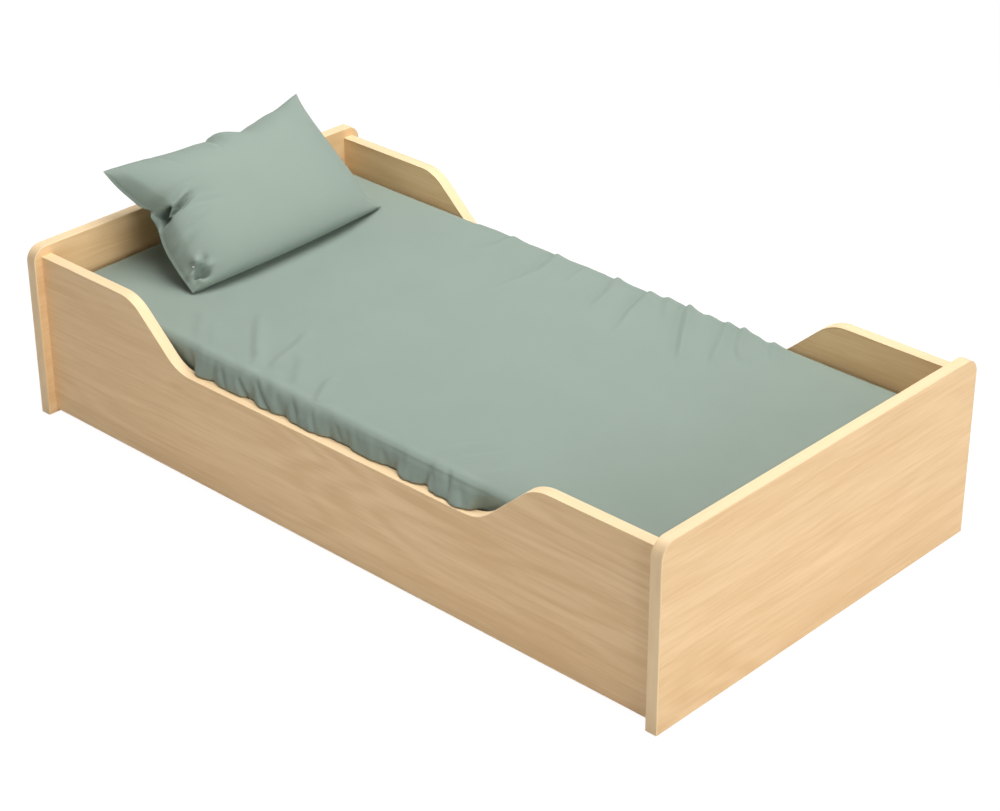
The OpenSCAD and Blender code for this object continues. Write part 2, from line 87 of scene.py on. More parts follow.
def linear(shade: str) -> tuple[float, float, float, float]:
    """Turns a colour as seen on screen into the numbers that shaders use.

    Args:
        shade: The colour as six hexadecimal digits after a hash sign.

    Returns:
        Red, green, blue and alpha, in linear light.
    """
    parts = [int(shade[i : i + 2], 16) / 255 for i in (1, 3, 5)]
    light = [p / 12.92 if p <= 0.04045 else ((p + 0.055) / 1.055) ** 2.4 for p in parts]
    return (light[0], light[1], light[2], 1.0)


def eased(start: float, end: float, at: np.ndarray) -> np.ndarray:
    """Rises smoothly from 0 at start to 1 at end.

    Args:
        start: Where the rise begins.
        end: Where it ends; it may be below start.
        at: The places to work it out for.

    Returns:
        The values from 0 to 1.
    """
    t = np.clip((np.asarray(at, float) - start) / (end - start), 0, 1)
    return t * t * (3 - 2 * t)


def hump(at: np.ndarray, middle: float, spread: float) -> np.ndarray:
    """Gives a smooth hump of height 1 round a middle."""
    return np.exp(-(((np.asarray(at, float) - middle) / spread) ** 2))


def mesh_object(
    name: str, points: np.ndarray, faces: list, edges: list | None = None, smooth: bool = True
) -> bpy.types.Object:
    """Makes an object from plain lists, at the origin.

    Args:
        name: The object's name.
        points: Its points, one row each.
        faces: Its faces, as tuples of point numbers.
        edges: Its loose edges, where it has any.
        smooth: Whether its faces are shaded smoothly.

    Returns:
        The object, linked into the scene.
    """
    mesh = bpy.data.meshes.new(name)
    mesh.from_pydata([tuple(map(float, p)) for p in points], edges or [], faces)
    mesh.validate()
    mesh.update()
    if faces:
        mesh.shade_smooth() if smooth else mesh.shade_flat()
    made = bpy.data.objects.new(name, mesh)
    bpy.context.scene.collection.objects.link(made)
    return made


def settle(piece: bpy.types.Object) -> bpy.types.Object:
    """Turns what a piece's modifiers give into its plain mesh, and drops the modifiers.

    Args:
        piece: The object with live modifiers.

    Returns:
        The same object.
    """
    bpy.context.view_layer.update()
    depsgraph = bpy.context.evaluated_depsgraph_get()
    made = bpy.data.meshes.new_from_object(
        piece.evaluated_get(depsgraph), preserve_all_data_layers=True, depsgraph=depsgraph
    )
    made.name = piece.name
    piece.modifiers.clear()
    piece.data = made
    return piece


def dressed(piece: bpy.types.Object, material: bpy.types.Material) -> bpy.types.Object:
    """Gives a piece one material all over, and returns the piece."""
    piece.data.materials.clear()
    piece.data.materials.append(material)
    return piece


def repaint(node: str, frame: dict, material: bpy.types.Material) -> None:
    """Puts a material into every slot of a solid that stays as it is.

    Args:
        node: The solid's name.
        frame: What the frame's loading returned.
        material: The new material.
    """
    piece = frame["nodes"][node]
    if not piece.material_slots:
        piece.data.materials.append(material)
    for slot in piece.material_slots:
        slot.material = material


def report(piece: bpy.types.Object) -> None:
    """Logs a finished piece with its number of triangles."""
    triangles = sum(len(p.vertices) - 2 for p in piece.data.polygons)
    LOG.info("%s: %d triangles", piece.name, triangles)


# Node trees


class Wire:
    """An output socket of a node tree. Arithmetic on it adds Math nodes."""

    def __init__(self, graph: "Graph", socket: bpy.types.NodeSocket) -> None:
        """Wraps a socket that belongs to a graph."""
        self.graph = graph
        self.socket = socket

    def other(self, index: int) -> "Wire":
        """Gives another output of the same node."""
        return Wire(self.graph, self.socket.node.outputs[index])

    def maths(self, operation: str, *values: "Wire | float") -> "Wire":
        """Adds a Math node over the given values, in order."""
        return self.graph.node("ShaderNodeMath", {"operation": operation}, dict(enumerate(values)))

    def faded(self, start: float, end: float) -> "Wire":
        """Gives 0 at start, 1 at end and a smooth rise between."""
        ends = {"Value": self, "From Min": start, "From Max": end}
        return self.graph.node("ShaderNodeMapRange", {"interpolation_type": "SMOOTHSTEP"}, ends)

    def __add__(self, value: "Wire | float") -> "Wire":
        """Adds."""
        return self.maths("ADD", self, value)

    def __radd__(self, value: float) -> "Wire":
        """Adds to a number."""
        return self.maths("ADD", value, self)

    def __sub__(self, value: "Wire | float") -> "Wire":
        """Subtracts."""
        return self.maths("SUBTRACT", self, value)

    def __rsub__(self, value: float) -> "Wire":
        """Subtracts from a number."""
        return self.maths("SUBTRACT", value, self)

    def __mul__(self, value: "Wire | float") -> "Wire":
        """Multiplies."""
        return self.maths("MULTIPLY", self, value)


class Graph:
    """A node tree that is written as Python expressions."""

    def __init__(self, tree: bpy.types.NodeTree) -> None:
        """Takes an empty tree."""
        self.tree = tree

    def node(
        self, kind: str, settings: dict | None = None, inputs: dict | None = None, output: int = 0
    ) -> Wire | None:
        """Adds a node.

        Args:
            kind: The node's type.
            settings: Its own settings, set first.
            inputs: Values, wires or lists of wires, by the sockets' names or numbers.
            output: Which output to return.

        Returns:
            The output, or None if the node has none.
        """
        made = self.tree.nodes.new(kind)
        for name, value in (settings or {}).items():
            setattr(made, name, value)
        for key, value in (inputs or {}).items():
            for part in value if isinstance(value, list) else [value]:
                if isinstance(part, Wire):
                    self.tree.links.new(part.socket, made.inputs[key])
                else:
                    made.inputs[key].default_value = part
        return Wire(self, made.outputs[output]) if made.outputs else None

    def split(self, vector: Wire) -> tuple[Wire, Wire, Wire]:
        """Gives the three parts of a vector."""
        x = self.node("ShaderNodeSeparateXYZ", inputs={0: vector})
        return x, x.other(1), x.other(2)

    def joined(self, x: Wire | float, y: Wire | float, z: Wire | float) -> Wire:
        """Makes a vector from its three parts."""
        return self.node("ShaderNodeCombineXYZ", inputs={0: x, 1: y, 2: z})

    def vector(self, operation: str, *values: Wire | tuple) -> Wire:
        """Adds a Vector Math node over the given vectors, in order."""
        return self.node("ShaderNodeVectorMath", {"operation": operation}, dict(enumerate(values)))


class Paint(Graph):
    """The node tree of one material."""

    def __init__(self, name: str) -> None:
        """Starts an empty material of that name."""
        self.material = bpy.data.materials.new(name)
        self.material.use_nodes = True
        super().__init__(self.material.node_tree)
        self.tree.nodes.clear()

    def place(self, offset: tuple = (0.0, 0.0, 0.0)) -> Wire:
        """Gives the place on the object, in metres, moved by an offset."""
        here = self.node("ShaderNodeTexCoord", output=OBJECT_PLACE)
        return self.node("ShaderNodeMapping", inputs={"Vector": here, "Location": offset})

    def attribute(self, name: str) -> Wire:
        """Gives a number that is kept with the piece's points."""
        return self.node("ShaderNodeAttribute", {"attribute_name": name}, output=ATTRIBUTE_VALUE)

    def cloth(self) -> Wire:
        """Gives the place on the cloth's own map, in metres."""
        return self.node("ShaderNodeUVMap", {"uv_map": CLOTH_MAP})

    def noise(
        self, at: Wire, scale: tuple | float, detail: float = 2.0, rough: float = 0.5, bend: float = 0.0
    ) -> Wire:
        """Adds a noise pattern.

        Args:
            at: The place, in metres.
            scale: Spots per metre, in each direction or in all.
            detail: How many finer layers it has.
            rough: How strong they are.
            bend: How far it is distorted.

        Returns:
            A value round 0.5.
        """
        if isinstance(scale, tuple):
            at, scale = self.vector("MULTIPLY", at, scale), 1.0
        values = {"Vector": at, "Scale": scale, "Detail": detail, "Roughness": rough, "Distortion": bend}
        return self.node("ShaderNodeTexNoise", inputs=values)

    def mix(self, factor: Wire | float, first: Wire | tuple, second: Wire | tuple) -> Wire:
        """Mixes two colours."""
        values = dict(zip(MIX_INPUTS, (factor, first, second)))
        return self.node("ShaderNodeMix", {"data_type": "RGBA"}, values, MIXED_COLOUR)

    def bump(self, height: Wire, depth: float, strength: float = 1.0, under: Wire | None = None) -> Wire:
        """Turns a height pattern into a normal.

        Args:
            height: The pattern.
            depth: Its height in metres for a step of 1.
            strength: How much of it shows.
            under: Another bump that it lies on.

        Returns:
            The normal.
        """
        values = {"Height": height, "Distance": depth, "Strength": strength}
        if under is not None:
            values["Normal"] = under
        return self.node("ShaderNodeBump", inputs=values)

    def finish(
        self, colour: Wire | tuple, rough: Wire | float, normal: Wire, **plain: float
    ) -> bpy.types.Material:
        """Ends the material with its surface.

        Args:
            colour: Its base colour.
            rough: Its roughness.
            normal: Its normal.
            plain: Other sockets of the surface, by name with _ for a blank, that are the same all over.

        Returns:
            The material.
        """
        values = {"Base Color": colour, "Roughness": rough, "Normal": normal}
        values |= {name.replace("_", " "): value for name, value in plain.items()}
        surface = self.node("ShaderNodeBsdfPrincipled", inputs=values)
        self.node("ShaderNodeOutputMaterial", inputs={"Surface": surface})
        return self.material


class Form(Graph):
    """A Geometry Nodes tree with named inputs, set on a piece through its modifier."""

    def __init__(self, name: str, **inputs: str) -> None:
        """Starts the tree.

        Args:
            name: The tree's name.
            inputs: The socket type of each input, by name.
        """
        super().__init__(bpy.data.node_groups.new(name, "GeometryNodeTree"))
        face = self.tree.interface
        face.new_socket("Geometry", in_out="INPUT", socket_type="NodeSocketGeometry")
        self.sockets = {
            key: face.new_socket(key, in_out="INPUT", socket_type=f"NodeSocket{kind}").identifier
            for key, kind in inputs.items()
        }
        face.new_socket("Geometry", in_out="OUTPUT", socket_type="NodeSocketGeometry")
        self.start = self.tree.nodes.new("NodeGroupInput")
        self.geometry = Wire(self, self.start.outputs["Geometry"])

    def value(self, name: str) -> Wire:
        """Gives a named input."""
        return Wire(self, self.start.outputs[name])

    def path(self) -> Wire:
        """Gives the piece's edges as curves."""
        return self.node("GeometryNodeMeshToCurve", inputs={"Mesh": self.geometry})

    def on_points(self, instance: Wire, **inputs: Wire) -> Wire:
        """Sets an instance on every point of the piece."""
        points = self.node("GeometryNodeMeshToPoints", inputs={"Mesh": self.geometry})
        values = {"Points": points, "Instance": instance, **inputs}
        return self.node("GeometryNodeInstanceOnPoints", inputs=values)

    def upright(self, path: Wire) -> Wire:
        """Keeps the sections along a path upright."""
        return self.node("GeometryNodeSetCurveNormal", {"mode": "Z_UP"}, {"Curve": path})

    def stepped(self, path: Wire, step: float) -> Wire:
        """Gives a path points at even steps."""
        return self.node("GeometryNodeResampleCurve", {"mode": "LENGTH"}, {"Curve": path, "Length": step})

    def oblong(self, width: Wire, height: Wire) -> Wire:
        """Makes a rectangle as a section."""
        return self.node("GeometryNodeCurvePrimitiveQuadrilateral", inputs={"Width": width, "Height": height})

    def rounded(self, curve: Wire, count: int, radius: Wire | float, limited: bool = True) -> Wire:
        """Rounds a curve's corners, each in so many steps."""
        values = {"Curve": curve, "Count": count, "Radius": radius, "Limit Radius": limited}
        return self.node("GeometryNodeFilletCurve", {"mode": "POLY"}, values)

    def swept(self, path: Wire, section: Wire, caps: bool = True) -> Wire:
        """Sweeps a section along a path."""
        values = {"Curve": path, "Profile Curve": section, "Fill Caps": caps}
        return self.node("GeometryNodeCurveToMesh", inputs=values)

    def smooth(self, geometry: Wire) -> Wire:
        """Shades geometry smoothly."""
        return self.node("GeometryNodeSetShadeSmooth", inputs={"Geometry": geometry})

    def raised(self, geometry: Wire, height: Wire) -> Wire:
        """Moves geometry up."""
        values = {"Geometry": geometry, "Translation": self.joined(0.0, 0.0, height)}
        return self.node("GeometryNodeTransform", inputs=values)

    def end(self, geometry: Wire) -> "Form":
        """Ends the tree with plain geometry in the material of the input named material."""
        plain = self.node("GeometryNodeRealizeInstances", inputs={"Geometry": geometry})
        look = self.value("material")
        painted = self.node("GeometryNodeSetMaterial", inputs={"Geometry": plain, "Material": look})
        self.node("NodeGroupOutput", inputs={"Geometry": painted})
        return self

    def shape(self, piece: bpy.types.Object, even: bool = False, **values: object) -> bpy.types.Object:
        """Runs the tree on a piece and keeps the result as its mesh.

        Args:
            piece: The object whose points the tree starts from.
            even: Whether large faces rule the shading, as on planed parts.
            values: The inputs by name.

        Returns:
            The piece.
        """
        work = piece.modifiers.new(self.tree.name, "NODES")
        work.node_group = self.tree
        for name, value in values.items():
            work[self.sockets[name]] = value
        if even:
            piece.modifiers.new("even", "WEIGHTED_NORMAL")
        return settle(piece)


# Finishes


class Grain(Enum):
    """Which way the grain runs on a wooden or wood-look piece."""

    ALONG_BED = "along the bed"
    ACROSS_BED = "across the bed"
    END_STRIP = "along an end board's strip"
    SIDE_STRIP = "along a side panel's strip"


@dataclass(frozen=True)
class WoodFinish:
    """Wood or its printed likeness, with fibres, broader streaks, a figure of long arches and a few knots."""

    name: str
    pale: str
    dark: str
    grain: Grain
    fibre: float = 0.5
    streak: float = 0.5
    figure: float = 0.20
    knots: float = 0.5
    rough: float = 0.5
    pores: float = 0.00006
    offset: tuple = (0.0, 0.0, 0.0)

    def _along_grain(self, paint: Paint) -> Wire:
        """Gives the place with X along the grain."""
        x, y, z = paint.split(paint.place(self.offset))
        if self.grain is Grain.ALONG_BED:
            return paint.joined(x, y, z)
        if self.grain is Grain.ACROSS_BED:
            return paint.joined(y, x, z)
        run = paint.attribute("run")
        return paint.joined(run, x if self.grain is Grain.END_STRIP else y, 0.3)

    def material(self) -> bpy.types.Material:
        """Builds the material."""
        paint = Paint(self.name)
        at = self._along_grain(paint)
        along, through, up = paint.split(at)
        sway = paint.noise(at, (1.3, 4.0, 4.0), 1.0)
        at = paint.joined(along, through, up + (sway - 0.5) * 0.03)
        stretched = paint.vector("MULTIPLY", at, (2.1, 8.0, 8.0))
        spots = paint.node("ShaderNodeTexVoronoi", inputs={"Vector": stretched, "Scale": 1.0})
        chosen = paint.node("ShaderNodeSeparateColor", inputs={0: spots.other(1)}).faded(0.72, 0.74)
        swirl = spots.faded(0.34, 0.0) * chosen
        knot = spots.faded(0.075, 0.02) * chosen
        field = paint.noise(at, (1.7, 7.5, 7.5), 1.0, 0.4, 0.4) + swirl * 0.22
        arches = field.maths("SINE", field * 64.0)
        strength = paint.noise(at, (1.3, 5.0, 5.0), 1.0).faded(0.4, 0.62)
        fibre = paint.noise(at, (10.0, 200.0, 200.0), 3.0, 0.6)
        streak = paint.noise(at, (3.2, 38.0, 38.0), 2.0, 0.55, 0.3)
        shade = (
            0.5
            + (fibre - 0.5) * (2.2 * self.fibre)
            + (streak - 0.5) * (2.4 * self.streak)
            + arches * strength * self.figure
            + knot * self.knots
        )
        colour = paint.mix(shade.faded(-0.1, 1.1), linear(self.pale), linear(self.dark))
        pores = paint.noise(at, (26.0, 900.0, 900.0), 2.0, 0.7)
        rough = self.rough + (fibre - 0.5) * 0.16 + knot * 0.05
        normal = paint.bump(fibre * 0.6 + pores * 0.4, self.pores, 0.6)
        return paint.finish(colour, rough, normal, IOR=1.45)


@dataclass(frozen=True)
class MetalFinish:
    """Plated or cast metal with fine marks from handling."""

    name: str
    shade: str
    rough: float
    grit: float

    def material(self) -> bpy.types.Material:
        """Builds the material."""
        paint = Paint(self.name)
        at = paint.place()
        cloud = paint.noise(at, 90.0, 3.0, 0.6)
        grain = paint.noise(at, 1400.0, 2.0, 0.6)
        pale = linear(self.shade)
        dull = (pale[0] * 0.78, pale[1] * 0.78, pale[2] * 0.8, 1.0)
        colour = paint.mix(cloud.faded(0.35, 0.75), pale, dull)
        rough = self.rough + (cloud - 0.5) * 0.25
        return paint.finish(colour, rough, paint.bump(grain, self.grit), Metallic=1.0)


class Weave(Enum):
    """How a cloth's threads are put together."""

    JERSEY = "fine knitted rows"
    KNIT = "coarser knitted rows"
    TAPE = "woven tape"
    FLEECE = "loose fibres"


@dataclass(frozen=True)
class ClothFinish:
    """Cloth with its threads, uneven yarn and soft mottling."""

    name: str
    shade: str
    weave: Weave
    pitch: float
    relief: float = 0.00012
    mottle: float = 0.05
    sheen: float = 0.12
    mapped: bool = True

    def _threads(self, paint: Paint, at: Wire) -> Wire:
        """Gives the height pattern of the threads."""
        turn = 2 * math.pi / self.pitch
        x, y, _ = paint.split(at)
        across = x.maths("SINE", x * turn)
        if self.weave is Weave.FLEECE:
            return paint.noise(at, 1 / self.pitch, 3.0, 0.7, 1.2)
        if self.weave is Weave.TAPE:
            return across * y.maths("SINE", y * turn) + y.maths("SINE", y * turn * 0.25) * 0.5
        slant = y.maths("SINE", y * turn * 0.7 + across.maths("ABSOLUTE", across) * 1.6)
        return across * 0.5 + slant * 0.5

    def material(self) -> bpy.types.Material:
        """Builds the material."""
        paint = Paint(self.name)
        here = paint.place()
        threads = self._threads(paint, paint.cloth() if self.mapped else here)
        yarn = paint.noise(here, 420.0, 3.0, 0.65)
        cloud = paint.noise(here, 11.0, 2.0, 0.5)
        base = linear(self.shade)
        low = tuple(c * (1 - self.mottle) for c in base[:3]) + (1.0,)
        high = tuple(min(1.0, c * (1 + self.mottle)) for c in base[:3]) + (1.0,)
        tone = 0.5 + (yarn - 0.5) * 0.9 + (cloud - 0.5) * 0.7 + threads * 0.06
        colour = paint.mix(tone.faded(0.0, 1.0), low, high)
        rough = 0.86 + (yarn - 0.5) * 0.12
        normal = paint.bump(yarn, self.relief * 1.5, 0.5, paint.bump(threads, self.relief, 0.5))
        plain = {"Sheen Weight": self.sheen, "Sheen Roughness": 0.5, "Specular IOR Level": 0.25}
        return paint.finish(colour, rough, normal, **plain)


BOARD_PALE = "#F4D2A3"
BOARD_DARK = "#E3BC88"
BAND_PALE = "#F5D9AE"
BAND_DARK = "#ECCB9D"
SAGE = "#8B998E"


@dataclass
class Finishes:
    """Every finish of the bed, built once."""

    def __post_init__(self) -> None:
        """Builds the materials."""
        across = Grain.ACROSS_BED
        along = Grain.ALONG_BED
        board = (BOARD_PALE, BOARD_DARK)
        self.headboard = WoodFinish("laminate_head", *board, across, offset=(0, 3, 1)).material()
        self.footboard = WoodFinish("laminate_foot", *board, across, offset=(0, 8.2, 5.3)).material()
        self.near_side = WoodFinish("laminate_near", *board, along, offset=(1.7, 0, 2.6)).material()
        self.far_side = WoodFinish("laminate_far", *board, along, offset=(7.1, 0, 9)).material()
        band = {"fibre": 0.35, "streak": 0.3, "figure": 0.06, "knots": 0.0}
        self.end_band = WoodFinish("band_ends", BAND_PALE, BAND_DARK, Grain.END_STRIP, **band).material()
        self.side_band = WoodFinish("band_sides", BAND_PALE, BAND_DARK, Grain.SIDE_STRIP, **band).material()
        pine = {"fibre": 0.6, "streak": 0.9, "figure": 0.3, "knots": 0.9, "rough": 0.62, "pores": 0.0001}
        self.slats = WoodFinish("pine_slats", "#F0DBB0", "#D8B077", across, **pine).material()
        self.ledgers = WoodFinish("pine_ledgers", "#F0DBB0", "#D8B077", along, **pine).material()
        self.dowels = WoodFinish("beech_dowels", "#E0BE93", "#C59B6C", along, rough=0.6).material()
        self.steel = MetalFinish("plated_steel", "#C4C7CA", 0.32, 0.00001).material()
        self.zinc = MetalFinish("cast_zinc", "#A5A7AA", 0.5, 0.00003).material()
        self.tape = ClothFinish("woven_tape", "#DEDED8", Weave.TAPE, 0.0016, 0.0002, mapped=False).material()
        self.sheet = ClothFinish("sage_jersey", SAGE, Weave.JERSEY, 0.0011, mottle=0.035).material()
        self.elastic = ClothFinish(
            "ribbed_elastic", "#E2E2DC", Weave.TAPE, 0.0012, 0.0002, mapped=False
        ).material()
        self.cover = ClothFinish("knitted_cover", "#E9E8E2", Weave.KNIT, 0.003, 0.0003).material()
        self.fibre = ClothFinish(
            "fibre_filling", "#ECECE8", Weave.FLEECE, 0.004, 0.0008, mapped=False
        ).material()


# Boards


@dataclass
class BoardFrame:
    """The two end boards and the two side panels with their edge bands."""

    board_t: float = 0.022
    width: float = 0.788
    end_corner: float = 0.028
    band_t: float = 0.002
    end_round: float = 0.0015
    side_round: float = 0.0008
    side_low: float = 0.007
    side_top: float = 0.310
    shoulder: float = 0.210
    drop: float = 0.102
    slope: float = math.radians(42)
    scoop_r: float = 0.080
    arc_steps: int = 24

    def scoop_path(self, inset: float) -> list[tuple[float, float]]:
        """Follows a side panel's top edge from the foot to the head.

        Args:
            inset: How far the path lies inside the outline.

        Returns:
            Points as (x, z).
        """
        low = self.side_top - self.drop
        flank = (self.drop - 2 * self.scoop_r * (1 - math.cos(self.slope))) / math.sin(self.slope)
        run = 2 * self.scoop_r * math.sin(self.slope) + flank * math.cos(self.slope)
        crest = END_FACE - self.shoulder
        trough = crest - run
        turns = [self.slope * i / self.arc_steps for i in range(self.arc_steps + 1)]
        inner = self.scoop_r - inset
        outer = self.scoop_r + inset
        half = [(END_FACE, self.side_top - inset)]
        half += [
            (crest - inner * math.sin(a), self.side_top - self.scoop_r + inner * math.cos(a)) for a in turns
        ]
        half += [
            (trough + outer * math.sin(a), low + self.scoop_r - outer * math.cos(a)) for a in reversed(turns)
        ]
        return half + [(-x, z) for x, z in reversed(half)]

    def end_path(self, inset: float) -> list[tuple[float, float]]:
        """Follows an end board's outline from the far foot over the top to the near foot.

        Args:
            inset: How far the path lies inside the outline.

        Returns:
            Points as (y, z).
        """
        centre = self.width / 2 - self.end_corner
        r = self.end_corner - inset
        turns = [math.pi / 2 * i / self.arc_steps for i in range(self.arc_steps + 1)]
        arc = [(centre + r * math.cos(a), END_H - self.end_corner + r * math.sin(a)) for a in turns]
        half = [(centre + r, 0.0)] + arc
        return half + [(-y, z) for y, z in reversed(half)]

    def strip_form(self) -> Form:
        """Builds the tree that sweeps an edge band's section along a flat path and puts it in its place."""
        form = Form(
            "edge_band", thickness="Float", width="Float", rounding="Float", place="Vector", turn="Vector",
            material="Material",
        )
        upright = form.upright(form.path())
        run = form.node("GeometryNodeSplineParameter", output=1)
        marked = form.node(
            "GeometryNodeStoreNamedAttribute",
            {"data_type": "FLOAT", "domain": "POINT"},
            {"Geometry": upright, "Name": "run", "Value": run},
        )
        section = form.oblong(form.value("thickness"), form.value("width"))
        x, _, _ = form.split(form.node("GeometryNodeInputPosition"))
        outer = x.maths("GREATER_THAN", x, 0.0) * form.value("rounding")
        swept = form.swept(marked, form.rounded(section, 4, outer))
        placed = form.node(
            "GeometryNodeTransform",
            inputs={"Geometry": swept, "Translation": form.value("place"), "Rotation": form.value("turn")},
        )
        return form.end(form.smooth(placed))

    def _strip(self, form: Form, name: str, points: list, edges: list, **values: object) -> bpy.types.Object:
        """Sweeps one edge band along its path, in the place of its solid."""
        piece = mesh_object(name, np.array(points), [], edges)
        form.shape(piece, True, thickness=self.band_t, width=self.board_t, **values)
        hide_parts(name.replace("_band", "_edge_band"))
        return piece

    def strips(self, form: Form, finishes: Finishes) -> list[bpy.types.Object]:
        """Makes the four edge bands.

        Args:
            form: The sweeping tree.
            finishes: The bed's finishes.

        Returns:
            The pieces.
        """
        half = self.band_t / 2
        quarter = math.pi / 2
        made = []
        side_look = {"rounding": self.side_round, "turn": (quarter, 0, 0), "material": finishes.side_band}
        end_look = {"rounding": self.end_round, "turn": (quarter, 0, quarter), "material": finishes.end_band}
        for name, side in (("near_side_band", -1), ("far_side_band", 1)):
            points = [(x, z, 0) for x, z in self.scoop_path(half)]
            low = [(-END_FACE, self.side_low + half, 0), (END_FACE, self.side_low + half, 0)]
            edges = [(i, i + 1) for i in range(len(points) - 1)] + [(len(points), len(points) + 1)]
            place = (0, side * (SIDE_FACE + self.board_t / 2), 0)
            made.append(self._strip(form, name, points + low, edges, place=place, **side_look))
        for name, side in (("headboard_band", -1), ("footboard_band", 1)):
            points = [(y, z, 0) for y, z in self.end_path(half)]
            edges = [(i, i + 1) for i in range(len(points) - 1)]
            place = (side * (END_FACE + self.board_t / 2), 0, 0)
            made.append(self._strip(form, name, points, edges, place=place, **end_look))
        return made

    def build(self, frame: dict, finishes: Finishes) -> None:
        """Makes the bands and dresses the boards.

        Args:
            frame: What the frame's loading returned.
            finishes: The bed's finishes.
        """
        repaint("headboard", frame, finishes.headboard)
        repaint("footboard", frame, finishes.footboard)
        repaint("near_side_panel", frame, finishes.near_side)
        repaint("far_side_panel", frame, finishes.far_side)
        for piece in self.strips(self.strip_form(), finishes):
            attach(piece, "bed_frame")
            report(piece)


# Slatted base and fittings


@dataclass
class SlattedBase:
    """Ledgers, slats, the tapes that space them, and every screw, staple, cam and dowel."""

    slat_top: float = 0.126
    slat_t: float = 0.017
    slat_w: float = 0.060
    slat_count: int = 13
    slat_margin: float = 0.012
    ledger_w: float = 0.020
    ledger_h: float = 0.030
    ledger_screws: int = 6
    ledger_screw_inset: float = 0.080
    ledger_screw_l: float = 0.035
    slat_screw_l: float = 0.038
    screw_d: float = 0.004
    head_d: float = 0.008
    webbing_inset: float = 0.105
    webbing_w: float = 0.025
    webbing_t: float = 0.001
    staple_w: float = 0.010
    staple_d: float = 0.001
    staple_leg: float = 0.008

    def slat_places(self) -> list[float]:
        """Gives the slats' places along the bed."""
        first = -END_FACE + self.slat_margin + self.slat_w / 2
        pitch = -2 * first / (self.slat_count - 1)
        return [first + i * pitch for i in range(self.slat_count)]

    def screw_form(self) -> Form:
        """Builds the tree that sets a countersunk screw with a cross recess at every point, along its aim."""
        form = Form("screws", head="Float", shank="Float", length="Float", material="Material")
        head = form.value("head")
        shank = form.value("shank")
        length = form.value("length")
        sink = (head - shank) * 0.5
        cone = form.node(
            "GeometryNodeMeshCone",
            inputs={"Vertices": 28, "Radius Top": head * 0.5, "Radius Bottom": shank * 0.5, "Depth": sink},
        )
        arm, thin, deep = head * 0.52, head * 0.11, sink * 1.3
        cross = [
            form.node("GeometryNodeMeshCube", inputs={"Size": form.joined(*size)})
            for size in ((arm, thin, deep), (thin, arm, deep))
        ]
        driver = form.raised(form.node("GeometryNodeJoinGeometry", inputs={"Geometry": cross}), sink)
        cut = form.node(
            "GeometryNodeMeshBoolean", {"operation": "DIFFERENCE"}, {"Mesh 1": cone, "Mesh 2": driver}
        )
        core = shank * 0.46
        tip_l = 0.005
        rod = form.node(
            "GeometryNodeMeshCylinder",
            inputs={"Vertices": 16, "Radius": core, "Depth": length - sink - tip_l},
        )
        rod = form.raised(rod, (length + sink - tip_l) * -0.5)
        tip = form.node(
            "GeometryNodeMeshCone",
            inputs={"Vertices": 16, "Radius Top": core, "Radius Bottom": 0.0, "Depth": tip_l},
        )
        tip = form.raised(tip, 0.0 - length)
        sunk = form.raised(cut, 0.0 - sink)
        screw = form.node("GeometryNodeJoinGeometry", inputs={"Geometry": [sunk, rod, tip]})
        aim = form.node(
            "GeometryNodeInputNamedAttribute", {"data_type": "FLOAT_VECTOR"}, {"Name": "aim"}
        )
        turn = form.node("FunctionNodeAlignRotationToVector", {"axis": "Z"}, {"Vector": aim})
        spin = form.node(
            "FunctionNodeRandomValue", {"data_type": "FLOAT"}, {"Max": 1.5, "Seed": 4}, 1
        )
        turned = form.node(
            "FunctionNodeRotateRotation", {"rotation_space": "LOCAL"},
            {"Rotation": turn, "Rotate By": form.joined(0.0, 0.0, spin)},
        )
        return form.end(form.on_points(screw, Rotation=turned))

    def staple_form(self) -> Form:
        """Builds the tree that puts a bent wire staple at every point, with its legs up."""
        form = Form("staples", width="Float", wire="Float", leg="Float", material="Material")
        reach = (form.value("width") - form.value("wire")) * 0.5
        leg = form.value("leg")
        start = form.joined(0.0, 0.0 - reach, leg)
        bar = form.node(
            "GeometryNodeCurvePrimitiveLine", inputs={"Start": start, "End": form.joined(0.0, reach, leg)}
        )
        bent = form.node("GeometryNodeResampleCurve", {"mode": "COUNT"}, {"Curve": bar, "Count": 4})
        index = form.node("GeometryNodeInputIndex")
        low = index.maths("GREATER_THAN", index, 0.5) * index.maths("LESS_THAN", index, 2.5)
        side = index.maths("GREATER_THAN", index, 1.5) * 2.0 - 1.0
        bent = form.node(
            "GeometryNodeSetPosition",
            inputs={"Geometry": bent, "Position": form.joined(0.0, side * reach, leg * (1.0 - low))},
        )
        bent = form.rounded(bent, 3, form.value("wire") * 0.8)
        round_wire = form.node(
            "GeometryNodeCurvePrimitiveCircle", inputs={"Resolution": 8, "Radius": form.value("wire") * 0.5}
        )
        wire = form.smooth(form.swept(bent, round_wire))
        return form.end(form.on_points(wire))

    def tape_form(self) -> Form:
        """Builds the tree that sweeps a tape along each line, slightly waved and with rounded edges."""
        form = Form("tapes", width="Float", thickness="Float", wave="Float", material="Material")
        path = form.stepped(form.path(), 0.012)
        here = form.node("GeometryNodeInputPosition")
        drift = form.node(
            "ShaderNodeTexNoise", {"noise_dimensions": "3D"}, {"Vector": here, "Scale": 14.0, "Detail": 1.0}
        )
        waved = form.node(
            "GeometryNodeSetPosition",
            inputs={"Geometry": path, "Offset": form.joined(0.0, (drift - 0.5) * form.value("wave"), 0.0)},
        )
        thickness = form.value("thickness")
        section = form.rounded(form.oblong(form.value("width"), thickness), 2, thickness * 0.35)
        return form.end(form.smooth(form.swept(form.upright(waved), section)))

